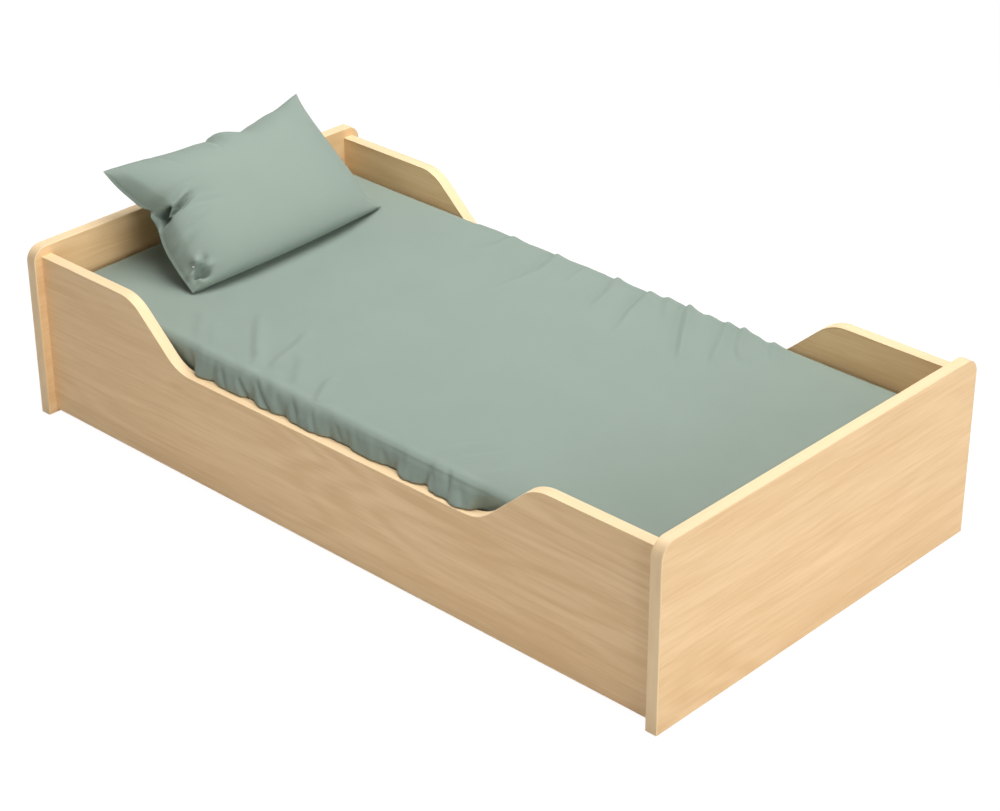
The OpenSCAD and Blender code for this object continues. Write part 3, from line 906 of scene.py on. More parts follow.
    def _aimed(self, name: str, points: list, aims: list) -> bpy.types.Object:
        """Makes a piece of loose points, each with the direction that its screw's head faces."""
        piece = mesh_object(name, np.array(points), [])
        kept = piece.data.attributes.new("aim", "FLOAT_VECTOR", "POINT")
        kept.data.foreach_set("vector", np.array(aims, float).ravel())
        return piece

    def fasteners(self, finishes: Finishes) -> list[bpy.types.Object]:
        """Makes the screws and staples.

        Args:
            finishes: The bed's finishes.

        Returns:
            The pieces.
        """
        pitch = 2 * (END_FACE - self.ledger_screw_inset) / (self.ledger_screws - 1)
        xs = [-END_FACE + self.ledger_screw_inset + i * pitch for i in range(self.ledger_screws)]
        bottom = self.slat_top - self.slat_t
        wall = SIDE_FACE - self.ledger_w
        places = [(x, s * wall, bottom - self.ledger_h / 2) for s in (-1, 1) for x in xs]
        aims = [(0, -s, 0) for s in (-1, 1) for _ in xs]
        screws = self.screw_form()
        sizes = {"head": self.head_d, "shank": self.screw_d, "material": finishes.steel}
        ledger = self._aimed("ledger_screw_set", places, aims)
        screws.shape(ledger, True, length=self.ledger_screw_l, **sizes)
        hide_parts("ledger_screws")
        slats = self.slat_places()
        line = SIDE_FACE - self.ledger_w / 2
        places = [(x, s * line, self.slat_top) for s in (-1, 1) for x in (slats[0], slats[-1])]
        slat = self._aimed("slat_screw_set", places, [(0, 0, 1)] * len(places))
        screws.shape(slat, True, length=self.slat_screw_l, **sizes)
        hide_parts("slat_screws")
        middle = SIDE_FACE - self.webbing_inset
        crown = bottom - self.webbing_t - self.staple_d / 2
        places = [(x, s * middle, crown) for s in (-1, 1) for x in slats]
        staples = mesh_object("staple_set", np.array(places), [])
        leg = self.webbing_t + self.staple_leg + self.staple_d / 2
        self.staple_form().shape(
            staples, width=self.staple_w, wire=self.staple_d, leg=leg, material=finishes.steel
        )
        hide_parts("webbing_staples")
        return [ledger, slat, staples]

    def tapes(self, finishes: Finishes) -> bpy.types.Object:
        """Makes the two tapes under the slats.

        Args:
            finishes: The bed's finishes.

        Returns:
            The piece.
        """
        ends = self.slat_places()
        reach = ends[-1] + self.slat_w / 2
        middle = SIDE_FACE - self.webbing_inset
        z = self.slat_top - self.slat_t - self.webbing_t / 2
        places = [(-reach, -middle, z), (reach, -middle, z), (-reach, middle, z), (reach, middle, z)]
        piece = mesh_object("slat_tapes", np.array(places), [], [(0, 1), (2, 3)])
        self.tape_form().shape(
            piece, True, width=self.webbing_w, thickness=self.webbing_t, wave=0.002, material=finishes.tape
        )
        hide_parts("near_slat_webbing", "far_slat_webbing")
        return piece

    def build(self, frame: dict, finishes: Finishes) -> None:
        """Makes the small pieces and dresses the wooden ones.

        Args:
            frame: What the frame's loading returned.
            finishes: The bed's finishes.
        """
        for i in range(self.slat_count):
            repaint(f"slat_{i + 1:02d}", frame, finishes.slats)
        for side in ("near", "far"):
            repaint(f"{side}_slat_ledger", frame, finishes.ledgers)
        repaint("joint_dowels", frame, finishes.dowels)
        repaint("cam_bolts", frame, finishes.steel)
        repaint("cam_locks", frame, finishes.zinc)
        for piece in self.fasteners(finishes):
            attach(piece, "bed_frame")
            report(piece)
        tape = self.tapes(finishes)
        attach(tape, "bed_frame")
        report(tape)


# Mattress and sheet


class Crease(Enum):
    """How the sheet is bent along a line."""

    LAP = "a ridge with one steep flank, on the head's side"
    ROLL = "a rounded ridge"
    NICK = "a narrow hollow between raised rims"


@dataclass(frozen=True)
class Fold:
    """A fold of the sheet along a line of (place along the bed, distance from the middle over the sheet).

    It fades in over the share `head` of its length and out over the share `tail`.
    """

    line: tuple
    height: float
    spread: float
    kind: Crease = Crease.LAP
    head: float = 0.3
    tail: float = 0.3

    def profile(self, across: np.ndarray) -> np.ndarray:
        """Gives the height, as a share of the fold's own, at distances across it towards the foot."""
        d = across / self.spread
        if self.kind is Crease.ROLL:
            return np.exp(-(d**2)) - 0.3 * hump(np.abs(d), 1.9, 0.8)
        if self.kind is Crease.NICK:
            return 0.35 * hump(np.abs(d), 2.2, 1.1) - np.exp(-(d**2))
        flank = eased(-1.0, 1.0, d)
        return flank * np.exp(-((np.clip(d, 0, None) / 3.6) ** 1.5)) - 0.22 * hump(d, -1.9, 1.2)


@dataclass(frozen=True)
class Puff:
    """A place where the loose sheet bulges over the side: where, half its length, and how far out."""

    middle: float
    half: float
    reach: float


NEAR_PUFFS = (
    Puff(-0.310, 0.034, 0.017), Puff(-0.238, 0.056, 0.0165), Puff(-0.142, 0.048, 0.018),
    Puff(-0.050, 0.062, 0.019), Puff(0.090, 0.056, 0.0155), Puff(0.188, 0.036, 0.0225),
    Puff(0.252, 0.032, 0.0225), Puff(0.296, 0.040, 0.0268),
)
FAR_PUFFS = (
    Puff(-0.270, 0.070, 0.013), Puff(-0.165, 0.060, 0.012), Puff(-0.060, 0.062, 0.014),
    Puff(0.038, 0.044, 0.010), Puff(0.140, 0.040, 0.018), Puff(0.226, 0.032, 0.012),
    Puff(0.295, 0.026, 0.008), Puff(0.338, 0.020, 0.007),
)
# Nicks where the sheet is nipped over the near rail: line, height, spread and fading-in share
NEAR_NICKS = (
    (((-0.356, 0.345), (-0.330, 0.378)), 0.0016, 0.0040, 0.3),
    (((-0.324, 0.345), (-0.303, 0.378)), 0.0014, 0.0040, 0.3),
    (((-0.270, 0.349), (-0.242, 0.378)), 0.0018, 0.0040, 0.3),
    (((-0.224, 0.350), (-0.196, 0.378)), 0.0042, 0.0034, 0.4),
    (((-0.192, 0.341), (-0.163, 0.361), (-0.135, 0.378)), 0.0044, 0.0040, 0.45),
    (((-0.136, 0.343), (-0.104, 0.378)), 0.0014, 0.0048, 0.4),
    (((-0.104, 0.342), (-0.060, 0.378)), 0.0026, 0.0050, 0.4),
    (((-0.050, 0.344), (-0.023, 0.378)), 0.0020, 0.0040, 0.4),
    (((0.006, 0.348), (0.032, 0.378)), 0.0024, 0.0036, 0.4),
    (((0.051, 0.346), (0.081, 0.378)), 0.0014, 0.0050, 0.4),
    (((0.111, 0.348), (0.140, 0.378)), 0.0016, 0.0050, 0.4),
    (((0.156, 0.344), (0.193, 0.378)), 0.0012, 0.0060, 0.4),
    (((0.220, 0.342), (0.249, 0.378)), 0.0026, 0.0044, 0.4),
    (((0.251, 0.332), (0.270, 0.358), (0.279, 0.378)), 0.0028, 0.0036, 0.3),
    (((0.286, 0.346), (0.319, 0.378)), 0.0016, 0.0050, 0.4),
)
NEAR_FOLDS = (
    Fold(((-0.366, 0.168), (-0.335, 0.211), (-0.300, 0.244), (-0.261, 0.281), (-0.235, 0.301),
          (-0.214, 0.333)), 0.0054, 0.0042, head=0.45, tail=0.12),
    Fold(((-0.248, 0.170), (-0.225, 0.209), (-0.214, 0.243), (-0.207, 0.274), (-0.189, 0.312)),
         0.0048, 0.0050, head=0.35, tail=0.12),
    Fold(((-0.195, 0.239), (-0.164, 0.273), (-0.117, 0.323)), 0.0035, 0.0050, tail=0.15),
    Fold(((-0.093, 0.254), (-0.085, 0.284), (-0.069, 0.310), (-0.051, 0.338)), 0.0042, 0.0045, tail=0.1),
    Fold(((-0.455, 0.235), (-0.401, 0.282), (-0.354, 0.332)), 0.0026, 0.0060),
    Fold(((-0.382, 0.265), (-0.321, 0.325)), 0.0019, 0.0050),
    Fold(((0.268, 0.217), (0.236, 0.251), (0.210, 0.292), (0.204, 0.331)), 0.0018, 0.0060, head=0.5),
    Fold(((0.300, 0.225), (0.245, 0.302), (0.230, 0.335)), 0.0016, 0.0060, head=0.5),
    Fold(((0.330, 0.262), (0.297, 0.327)), 0.0016, 0.0060, head=0.5),
    Fold(((-0.180, 0.310), (-0.150, 0.334), (-0.130, 0.350)), 0.0018, 0.0110, Crease.ROLL),
    Fold(((-0.250, 0.310), (-0.224, 0.332), (-0.205, 0.350)), 0.0016, 0.0110, Crease.ROLL),
    Fold(((-0.028, 0.318), (-0.010, 0.336), (0.004, 0.352)), 0.0014, 0.0120, Crease.ROLL),
    *(Fold(line, height, spread, Crease.NICK, head, 0.01) for line, height, spread, head in NEAR_NICKS),
)
FAR_FOLDS = (
    Fold(((-0.245, 0.350), (-0.247, 0.283), (-0.268, 0.238)), 0.0022, 0.0060, head=0.1, tail=0.5),
    Fold(((-0.140, 0.350), (-0.114, 0.269), (-0.118, 0.226), (-0.126, 0.170), (-0.130, 0.133)),
         0.0040, 0.0046, head=0.1, tail=0.6),
    Fold(((-0.062, 0.335), (-0.056, 0.288), (-0.050, 0.255)), 0.0028, 0.0045, head=0.15, tail=0.5),
    Fold(((0.000, 0.352), (0.032, 0.284), (0.038, 0.255), (0.048, 0.223), (0.064, 0.190)),
         0.0040, 0.0045, head=0.1, tail=0.55),
    Fold(((0.080, 0.350), (0.104, 0.273), (0.111, 0.247), (0.125, 0.217), (0.136, 0.181), (0.151, 0.150)),
         0.0045, 0.0048, head=0.1, tail=0.5),
    Fold(((0.112, 0.352), (0.171, 0.274), (0.187, 0.247)), 0.0028, 0.0048, head=0.1, tail=0.5),
    Fold(((0.162, 0.350), (0.208, 0.283), (0.240, 0.236), (0.266, 0.200), (0.302, 0.155)),
         0.0065, 0.0044, head=0.08, tail=0.4),
    Fold(((0.250, 0.350), (0.288, 0.282), (0.311, 0.238), (0.340, 0.192), (0.350, 0.172)),
         0.0045, 0.0048, head=0.1, tail=0.35),
    Fold(((0.284, 0.350), (0.327, 0.280), (0.348, 0.259), (0.367, 0.248), (0.390, 0.230)),
         0.0050, 0.0040, head=0.1, tail=0.4),
    Fold(((0.345, 0.356), (0.396, 0.286), (0.416, 0.271)), 0.0032, 0.0044, head=0.1, tail=0.4),
    Fold(((0.205, 0.352), (0.250, 0.287)), 0.0018, 0.0050, head=0.1, tail=0.5),
)


# How full the bulge over a rail is, by height above the rail's lip
FLARE = (
    (-0.002, 0), (-0.0013, 0.6), (-0.0006, 0.94), (0, 1.0), (0.0016, 0.98), (0.004, 0.93),
    (0.008, 0.82), (0.014, 0.66), (0.021, 0.46), (0.028, 0.28), (0.038, 0.07),
)
# Heights above the rail's lip where the sheet's side has rows of points
LIP_ROWS = (-0.002, -0.0013, -0.0006, 0, 0.0016, 0.004, 0.007, 0.0105, 0.0145)


@dataclass
class BeddingBox:
    """A grid over a box with rounded edges, and where each point lies on the flat cloth."""

    half: tuple
    base: float
    radius: float
    xs: np.ndarray
    ys: np.ndarray
    zs: np.ndarray
    hem: tuple | None = None

    def __post_init__(self) -> None:
        """Makes the grid, its faces and each point's direction and place on the cloth."""
        lines = [self._with_edges(*pair) for pair in zip(self.half, (self.xs, self.ys, self.zs))]
        count = (len(lines[2]) - len(self.zs)) // 2
        lines[2] = np.concatenate([lines[2][:count:3], lines[2][count:]])
        counts = [len(line) for line in lines]
        cells = []
        for axis in range(3):
            first, second = [a for a in range(3) if a != axis]
            if axis == 1:
                first, second = second, first
            ranges = [np.arange(counts[a] - 1) for a in (first, second)]
            grid = np.stack(np.meshgrid(*ranges, indexing="ij"), -1).reshape(-1, 2)
            for end in (0, 1):
                corners = [np.zeros((len(grid), 3), int) for _ in range(4)]
                for corner, (i, j) in zip(corners, ((0, 0), (1, 0), (1, 1), (0, 1))):
                    corner[:, axis] = end * (counts[axis] - 1)
                    corner[:, first] = grid[:, 0] + i
                    corner[:, second] = grid[:, 1] + j
                quads = np.stack(corners if end else corners[::-1], 1)
                if axis == 2 and end == 0 and self.hem:
                    mid = [np.abs(lines[a][quads[:, :, a]].mean(1)) for a in (0, 1)]
                    quads = quads[(mid[0] > self.hem[0]) | (mid[1] > self.hem[1])]
                cells.append(quads)
        cells = np.concatenate(cells)
        keys = (cells[..., 0] * counts[1] + cells[..., 1]) * counts[2] + cells[..., 2]
        unique, where = np.unique(keys, return_inverse=True)
        self.faces = where.reshape(keys.shape)
        plane = counts[1] * counts[2]
        index = np.stack([unique // plane, unique // counts[2] % counts[1], unique % counts[2]], 1)
        cube = np.stack([lines[a][index[:, a]] for a in range(3)], 1)
        inner = np.array(self.half) - self.radius
        self.core = np.clip(cube, -inner, inner)
        out = cube - self.core
        self.normal = out / np.linalg.norm(out, axis=1, keepdims=True)
        self.points = self.core + self.radius * self.normal
        self.angle = np.degrees(np.arccos(np.clip(self.normal[:, 2], -1, 1)))
        down = self.radius * np.radians(self.angle) + inner[2] - self.core[:, 2]
        endways, sideways = np.abs(self.normal[:, :2]).T
        share = sideways / np.maximum(endways + sideways, 1e-9)
        flat = np.abs(self.normal[:, 2]) > 0.9999
        top = flat & (self.normal[:, 2] > 0)
        share[flat] = 0.5
        down[top] = 0
        self.side_share = share
        self.along = self.core[:, 0] + np.sign(self.core[:, 0]) * down * (1 - share)
        self.across = self.core[:, 1] + np.sign(self.core[:, 1]) * down * share

    def _with_edges(self, half: float, inside: np.ndarray) -> np.ndarray:
        """Adds the lines over the rounded edges to those between them."""
        steps = np.arange(1, 10) * 5.0
        edge = half - self.radius + self.radius * np.tan(np.radians(steps))
        return np.concatenate([-edge[::-1], inside, edge])

    def placed(self) -> np.ndarray:
        """Gives the points with the box standing on its base."""
        return self.points + np.array([0, 0, self.half[2] + self.base])

    def add_map(self, piece: bpy.types.Object) -> None:
        """Keeps the place on the flat cloth as the piece's own map."""
        layer = piece.data.uv_layers.new(name=CLOTH_MAP)
        corners = np.empty(len(piece.data.loops), np.int32)
        piece.data.loops.foreach_get("vertex_index", corners)
        flat = np.stack([self.along, self.across], 1)[corners]
        layer.data.foreach_set("uv", flat.astype(np.float32).ravel())


def spaced(*knots: tuple) -> np.ndarray:
    """Gives even places between knots.

    Args:
        knots: Pairs of a place and the step used up to the next one.

    Returns:
        The places, from the first knot to the last.
    """
    places = [knots[0][0]]
    for (start, step), (end, _) in zip(knots, knots[1:]):
        count = max(1, round((end - start) / step))
        places += list(np.linspace(start, end, count + 1)[1:])
    return np.array(places)


@dataclass
class Mattress:
    """The padded mattress in its cover, the fitted sheet over it and the elastic in the sheet's hem."""

    length: float = 1.400
    width: float = 0.700
    base: float = 0.1263
    height: float = 0.122
    fall: float = 0.013
    crown: float = 0.002
    sheet_half_l: float = 0.6985
    sheet_half_w: float = 0.3475
    edge_round: float = 0.018
    lip_z: float = 0.2106
    overhang: float = 0.0005
    cloth_t: float = 0.0008
    turn_in: float = 0.060
    rail_top: float = 0.208
    scoop_half: float = 0.326
    cover_inset: float = 0.004
    cover_t: float = 0.0012
    end_reach: float = 0.7035
    least_bulge: float = 0.0090
    far_fold_scale: float = 1.5
    swell: float = 0.00035
    quilt_pitch: float = 0.085
    quilt_depth: float = 0.0016
    elastic_w: float = 0.006
    elastic_t: float = 0.0008
    elastic_rib: float = 0.006
    dart_share: float = 0.8

    def top(self, x: np.ndarray, y: np.ndarray) -> np.ndarray:
        """Gives the height of the sheet's top above the floor.

        Args:
            x: Places along the bed.
            y: Places across it.

        Returns:
            The heights.
        """
        crown = self.crown * (0.5 - (2 * y / self.width) ** 2)
        return self.base + self.height - self.fall * x / self.length + crown

    def _shaped(self, points: np.ndarray) -> np.ndarray:
        """Gives a level box the mattress's fall and crown, which grow from the rails' height to its top."""
        x, y, z = points.T
        rise = self.top(x, y) - (self.base + self.height)
        share = np.clip((z - self.lip_z) / (self.base + self.height - self.lip_z), 0, 1)
        return np.stack([x, y, z + rise * share], 1)

    def _fold_heights(self, box: BeddingBox, folds: list[Fold], side: int) -> np.ndarray:
        """Adds up the folds of one side.

        Args:
            box: The sheet's grid.
            folds: The folds.
            side: -1 for the near side and 1 for the far one.

        Returns:
            How far each point moves outwards.
        """
        x = box.points[:, 0]
        s = box.across * side
        total = np.zeros(len(x))
        for fold in folds:
            line = np.array(fold.line)
            lengths = np.linalg.norm(np.diff(line, axis=0), axis=1)
            before = np.concatenate([[0], np.cumsum(lengths)])
            low = line.min(0) - 6 * fold.spread
            high = line.max(0) + 6 * fold.spread
            near = np.flatnonzero((x > low[0]) & (x < high[0]) & (s > low[1]) & (s < high[1]) & (s > 0.02))
            here = np.stack([x[near], s[near]], 1)
            hand = np.sign(line[-1, 1] - line[0, 1])
            best = np.full(len(near), 9.0)
            across = np.zeros(len(near))
            along = np.zeros(len(near))
            for start, end, length, done in zip(line, line[1:], lengths, before):
                way = (end - start) / length
                rel = here - start
                t = np.clip(rel @ way, 0, length)
                distance = np.linalg.norm(rel - t[:, None] * way, axis=1)
                closer = distance < best
                turned = np.sign(rel[:, 0] * way[1] - rel[:, 1] * way[0]) * hand
                for kept, value in ((best, distance), (across, turned * distance), (along, done + t)):
                    kept[closer] = value[closer]
            share = along / before[-1]
            fade = eased(0.0, fold.head, share) * eased(1.0, 1 - fold.tail, share)
            total[near] += fold.height * fade * fold.profile(across)
        return total

    def _small_folds(self, rng: np.random.Generator) -> list[Fold]:
        """Draws the small gathers down one side and the pleats that run up from the hem.

        Args:
            rng: The seeded source of their places.

        Returns:
            The folds.
        """
        folds = []
        x = -0.36
        while x < 0.35:
            x += rng.uniform(0.009, 0.020)
            slant = rng.uniform(0.006, 0.026)
            top = rng.uniform(0.331, 0.348)
            line = ((x - slant, top), (x, 0.379))
            kind = Crease.ROLL if rng.random() < 0.6 else Crease.NICK
            height, spread = rng.uniform(0.0004, 0.0010), rng.uniform(0.0040, 0.0070)
            folds.append(Fold(line, height, spread, kind, 0.5, 0.01))
        x = -0.66
        while x < 0.66:
            x += rng.uniform(0.016, 0.032)
            line = ((x, 0.476), (x + rng.uniform(-0.008, 0.008), rng.uniform(0.400, 0.435)))
            height, spread = rng.uniform(0.001, 0.002), rng.uniform(0.005, 0.009)
            folds.append(Fold(line, height, spread, Crease.ROLL, 0.1))
        return folds

    def _reach(self, x: np.ndarray, puffs: tuple) -> np.ndarray:
        """Gives how far the sheet bulges out past the mattress's side at places along the bed."""
        total = np.full(len(x), self.least_bulge)
        for puff in puffs:
            lobe = np.clip(1 - ((x - puff.middle) / puff.half) ** 2, 0, None) ** 0.6
            total = np.maximum(total, puff.reach * lobe)
        return total

    def _bulged(self, box: BeddingBox, points: np.ndarray, level: np.ndarray) -> np.ndarray:
        """Spreads the sheet's sides over the low rails and tucks them in again just above the rails.

        Args:
            box: The sheet's grid.
            points: The points before it.
            level: The points' heights on the plain grid.

        Returns:
            The points after it.
        """
        points = points.copy()
        lip = self.lip_z
        flare = np.interp(level, [lip + height for height, _ in FLARE], [full for _, full in FLARE])
        shoulder = np.interp(box.angle, [0, 20, 45, 90], [0.62, 0.84, 0.97, 1.0])
        upward = np.interp(box.angle, [0, 15, 30, 50, 70, 90], [0.02, 0.08, 0.15, 0.17, 0.09, 0.0])
        for side, puffs in ((-1, NEAR_PUFFS), (1, FAR_PUFFS)):
            beside = box.points[:, 1] * side
            here = (beside > 0.3) & (box.side_share > 0.8) & (box.angle > 1)
            here |= (np.abs(beside - self.sheet_half_w + self.edge_round) < 1e-6) & (box.angle < 1)
            inside = eased(self.scoop_half + 0.016, self.scoop_half - 0.004, np.abs(points[:, 0])) * here
            excess = self._reach(points[:, 0], puffs) - self.overhang
            plain = self.overhang * shoulder * np.minimum(1, flare * 30)
            points[:, 1] += side * inside * (plain + excess * flare)
            points[:, 2] += inside * (excess + 0.001) * upward
            spill = eased(0.255, self.sheet_half_w - self.edge_round, box.core[:, 1] * side) * (box.angle < 1)
            spill *= eased(self.scoop_half + 0.012, self.scoop_half - 0.008, np.abs(points[:, 0])) * ~here
            points[:, 1] += side * self.overhang * 0.62 * spill
        low = level < lip - 0.0018
        wall = SIDE_FACE - 0.0012
        tucked = low | (np.abs(points[:, 0]) > self.scoop_half)
        points[:, 1] = np.where(tucked, np.clip(points[:, 1], -wall, wall), points[:, 1])
        return points

    def sheet(self, finishes: Finishes) -> bpy.types.Object:
        """Makes the fitted sheet.

        Args:
            finishes: The bed's finishes.

        Returns:
            The piece.
        """
        half = (self.sheet_half_l, self.sheet_half_w, self.height / 2)
        r = self.edge_round
        lip = self.lip_z
        hem = (self.length / 2 - self.turn_in, self.width / 2 - self.turn_in)
        wide = spaced((0.0, 0.030), (0.125, 0.0066), (half[1] - r, 0))
        long = spaced((0.0, 0.0041), (0.42, 0.014), (hem[0], 0.014), (half[0] - r, 0))
        middle = self.base + half[2]
        rows = [self.base + r, self.rail_top - 0.025, self.rail_top - 0.006]
        rows += [lip + height for height in LIP_ROWS] + [middle + half[2] - r]
        box = BeddingBox(
            half, self.base, r,
            np.concatenate([-long[:0:-1], long]), np.concatenate([-wide[:0:-1], wide]),
            np.array(rows) - middle, hem,
        )
        rng = np.random.default_rng(11)
        plain = box.placed()
        level = plain[:, 2]
        lift = self._fold_heights(box, [*NEAR_FOLDS, *self._small_folds(rng)], -1)
        far = self._fold_heights(box, [*FAR_FOLDS, *self._small_folds(rng)], 1)
        lift += self.far_fold_scale * far
        on_wall = (box.angle > 89) & (box.angle < 91)
        lift = np.where(on_wall, lift * eased(lip - 0.0016, lip, level), lift)
        lift = np.where(box.angle > 95, np.abs(lift), lift)
        x, y, _ = plain.T
        waves = ((7.3, 4.1, 0.6), (11.9, -8.7, 2.0), (5.2, 15.0, 0.0))
        swell = sum(np.sin(along * x + across * y + phase) for along, across, phase in waves)
        lift += self.swell * swell * (box.angle < 60)
        moved = self._shaped(plain + box.normal * lift[:, None])
        moved = self._bulged(box, moved, level)
        floor = self.base + 0.0001
        moved[:, 2] = np.maximum(moved[:, 2], floor)
        moved[:, 0] = np.clip(moved[:, 0], -self.end_reach, self.end_reach)
        piece = mesh_object("fitted_sheet_cloth", moved, box.faces.tolist())
        box.add_map(piece)
        dressed(piece, finishes.sheet)
        wall = piece.modifiers.new("cloth", "SOLIDIFY")
        wall.thickness = self.cloth_t
        wall.offset = -1
        settle(piece)
        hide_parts("fitted_sheet")
        return piece

    def pad(self, finishes: Finishes) -> bpy.types.Object:
        """Makes the mattress in its knitted cover, crowned and lightly quilted.

        Args:
            finishes: The bed's finishes.

        Returns:
            The piece.
        """
        inset = self.cover_inset
        half = (
            self.sheet_half_l - inset, self.sheet_half_w - inset,
            (self.height - inset - self.cover_t) / 2 - 0.002,
        )
        r = self.edge_round - inset
        long = np.linspace(r - half[0], half[0] - r, 120)
        wide = np.linspace(r - half[1], half[1] - r, 56)
        high = np.linspace(r - half[2], half[2] - r, 7)
        box = BeddingBox(half, self.base + self.cover_t, r, long, wide, high)
        moved = box.placed()
        x, y, _ = moved.T
        pitch = self.quilt_pitch
        cells = np.abs(np.sin(np.pi * (x + y) / pitch)) * np.abs(np.sin(np.pi * (x - y) / pitch))
        lift = -self.quilt_depth * (1 - cells**0.35) * (box.angle < 40)
        moved = self._shaped(moved + box.normal * lift[:, None])
        piece = mesh_object("mattress_pad", moved, box.faces.tolist())
        box.add_map(piece)
        dressed(piece, finishes.cover)
        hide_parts("mattress_cover", "mattress_core")
        return piece

    def elastic(self, finishes: Finishes) -> bpy.types.Object:
        """Makes the ribbed elastic that lies in the hem's edge.

        Args:
            finishes: The bed's finishes.

        Returns:
            The piece.
        """
        form = Form("elastic", width="Float", thickness="Float", rib="Float", material="Material")
        path = form.upright(form.stepped(form.rounded(form.path(), 8, 0.02, limited=False), 0.003))
        run = form.node("GeometryNodeSplineParameter", output=1)
        rib = run.maths("SINE", run * (math.pi / self.elastic_rib))
        radius = 1.0 - rib * rib * form.value("rib")
        path = form.node("GeometryNodeSetCurveRadius", inputs={"Curve": path, "Radius": radius})
        form.end(form.swept(path, form.oblong(form.value("width"), form.value("thickness")), caps=False))
        x = self.length / 2 - self.turn_in - self.elastic_t / 2 - self.elastic_w / 2
        y = self.width / 2 - self.turn_in - self.elastic_t / 2 - self.elastic_w / 2
        z = self.base + 0.0005
        piece = mesh_object(
            "hem_elastic", np.array([(x, y, z), (-x, y, z), (-x, -y, z), (x, -y, z)]), [],
            [(0, 1), (1, 2), (2, 3), (3, 0)],
        )
        form.shape(
            piece, width=self.elastic_w, thickness=self.elastic_t, rib=0.12, material=finishes.elastic
        )
        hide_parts("sheet_elastic")
        return piece

    def build(self, finishes: Finishes) -> None:
        """Args:
            finishes: The bed's finishes.
        """
        pad = self.pad(finishes)
        sheet = self.sheet(finishes)
        elastic = self.elastic(finishes)
        for piece, slot in ((pad, "cover_cloth"), (sheet, "sheet_cloth"), (elastic, "elastic")):
            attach(piece, "mattress")
            report(piece)
        depth = self.height + self.turn_in
        flat = (self.width + 2 * depth, self.length + 2 * depth)
        flat[0] * flat[1] - 4 * depth * depth * self.dart_share


# Pillow


@dataclass(frozen=True)
class Wrinkle:
    """A short crease pressed into the pillow's front: its middle, direction, half-length and depth."""

    across: float
    up: float
    angle: float
    length: float
    depth: float

    def pressed(self, a: np.ndarray, b: np.ndarray) -> np.ndarray:
        """Gives how deep it is at places across and up, with slightly raised rims."""
        turn_x, turn_y = math.cos(self.angle), math.sin(self.angle)
        p = (a - self.across) * turn_x + (b - self.up) * turn_y
        q = -(a - self.across) * turn_y + (b - self.up) * turn_x
        return self.depth * hump(p, 0, self.length) * (hump(q, 0, 0.006) - 0.6 * hump(q, 0.009, 0.006))


WRINKLES = (
    Wrinkle(-0.222, -0.062, 0.3, 0.024, 0.0036), Wrinkle(-0.190, -0.040, 0.15, 0.034, 0.0024),
    Wrinkle(-0.221, -0.112, 0.9, 0.020, 0.0040), Wrinkle(-0.219, -0.110, -0.6, 0.018, 0.0040),
    Wrinkle(-0.150, -0.010, -0.3, 0.045, 0.0018), Wrinkle(0.196, -0.112, 2.4, 0.022, 0.0016),
    Wrinkle(-0.030, 0.099, 1.2, 0.024, 0.0030), Wrinkle(-0.150, 0.112, 1.9, 0.030, 0.0014),
)


# Waves of the pillow's upper seam: height, middle and spread
TOP_WAVES = ((0.009, -0.10, 0.07), (-0.003, 0.05, 0.08), (0.009, 0.20, 0.11), (-0.004, 0.55, 0.12))


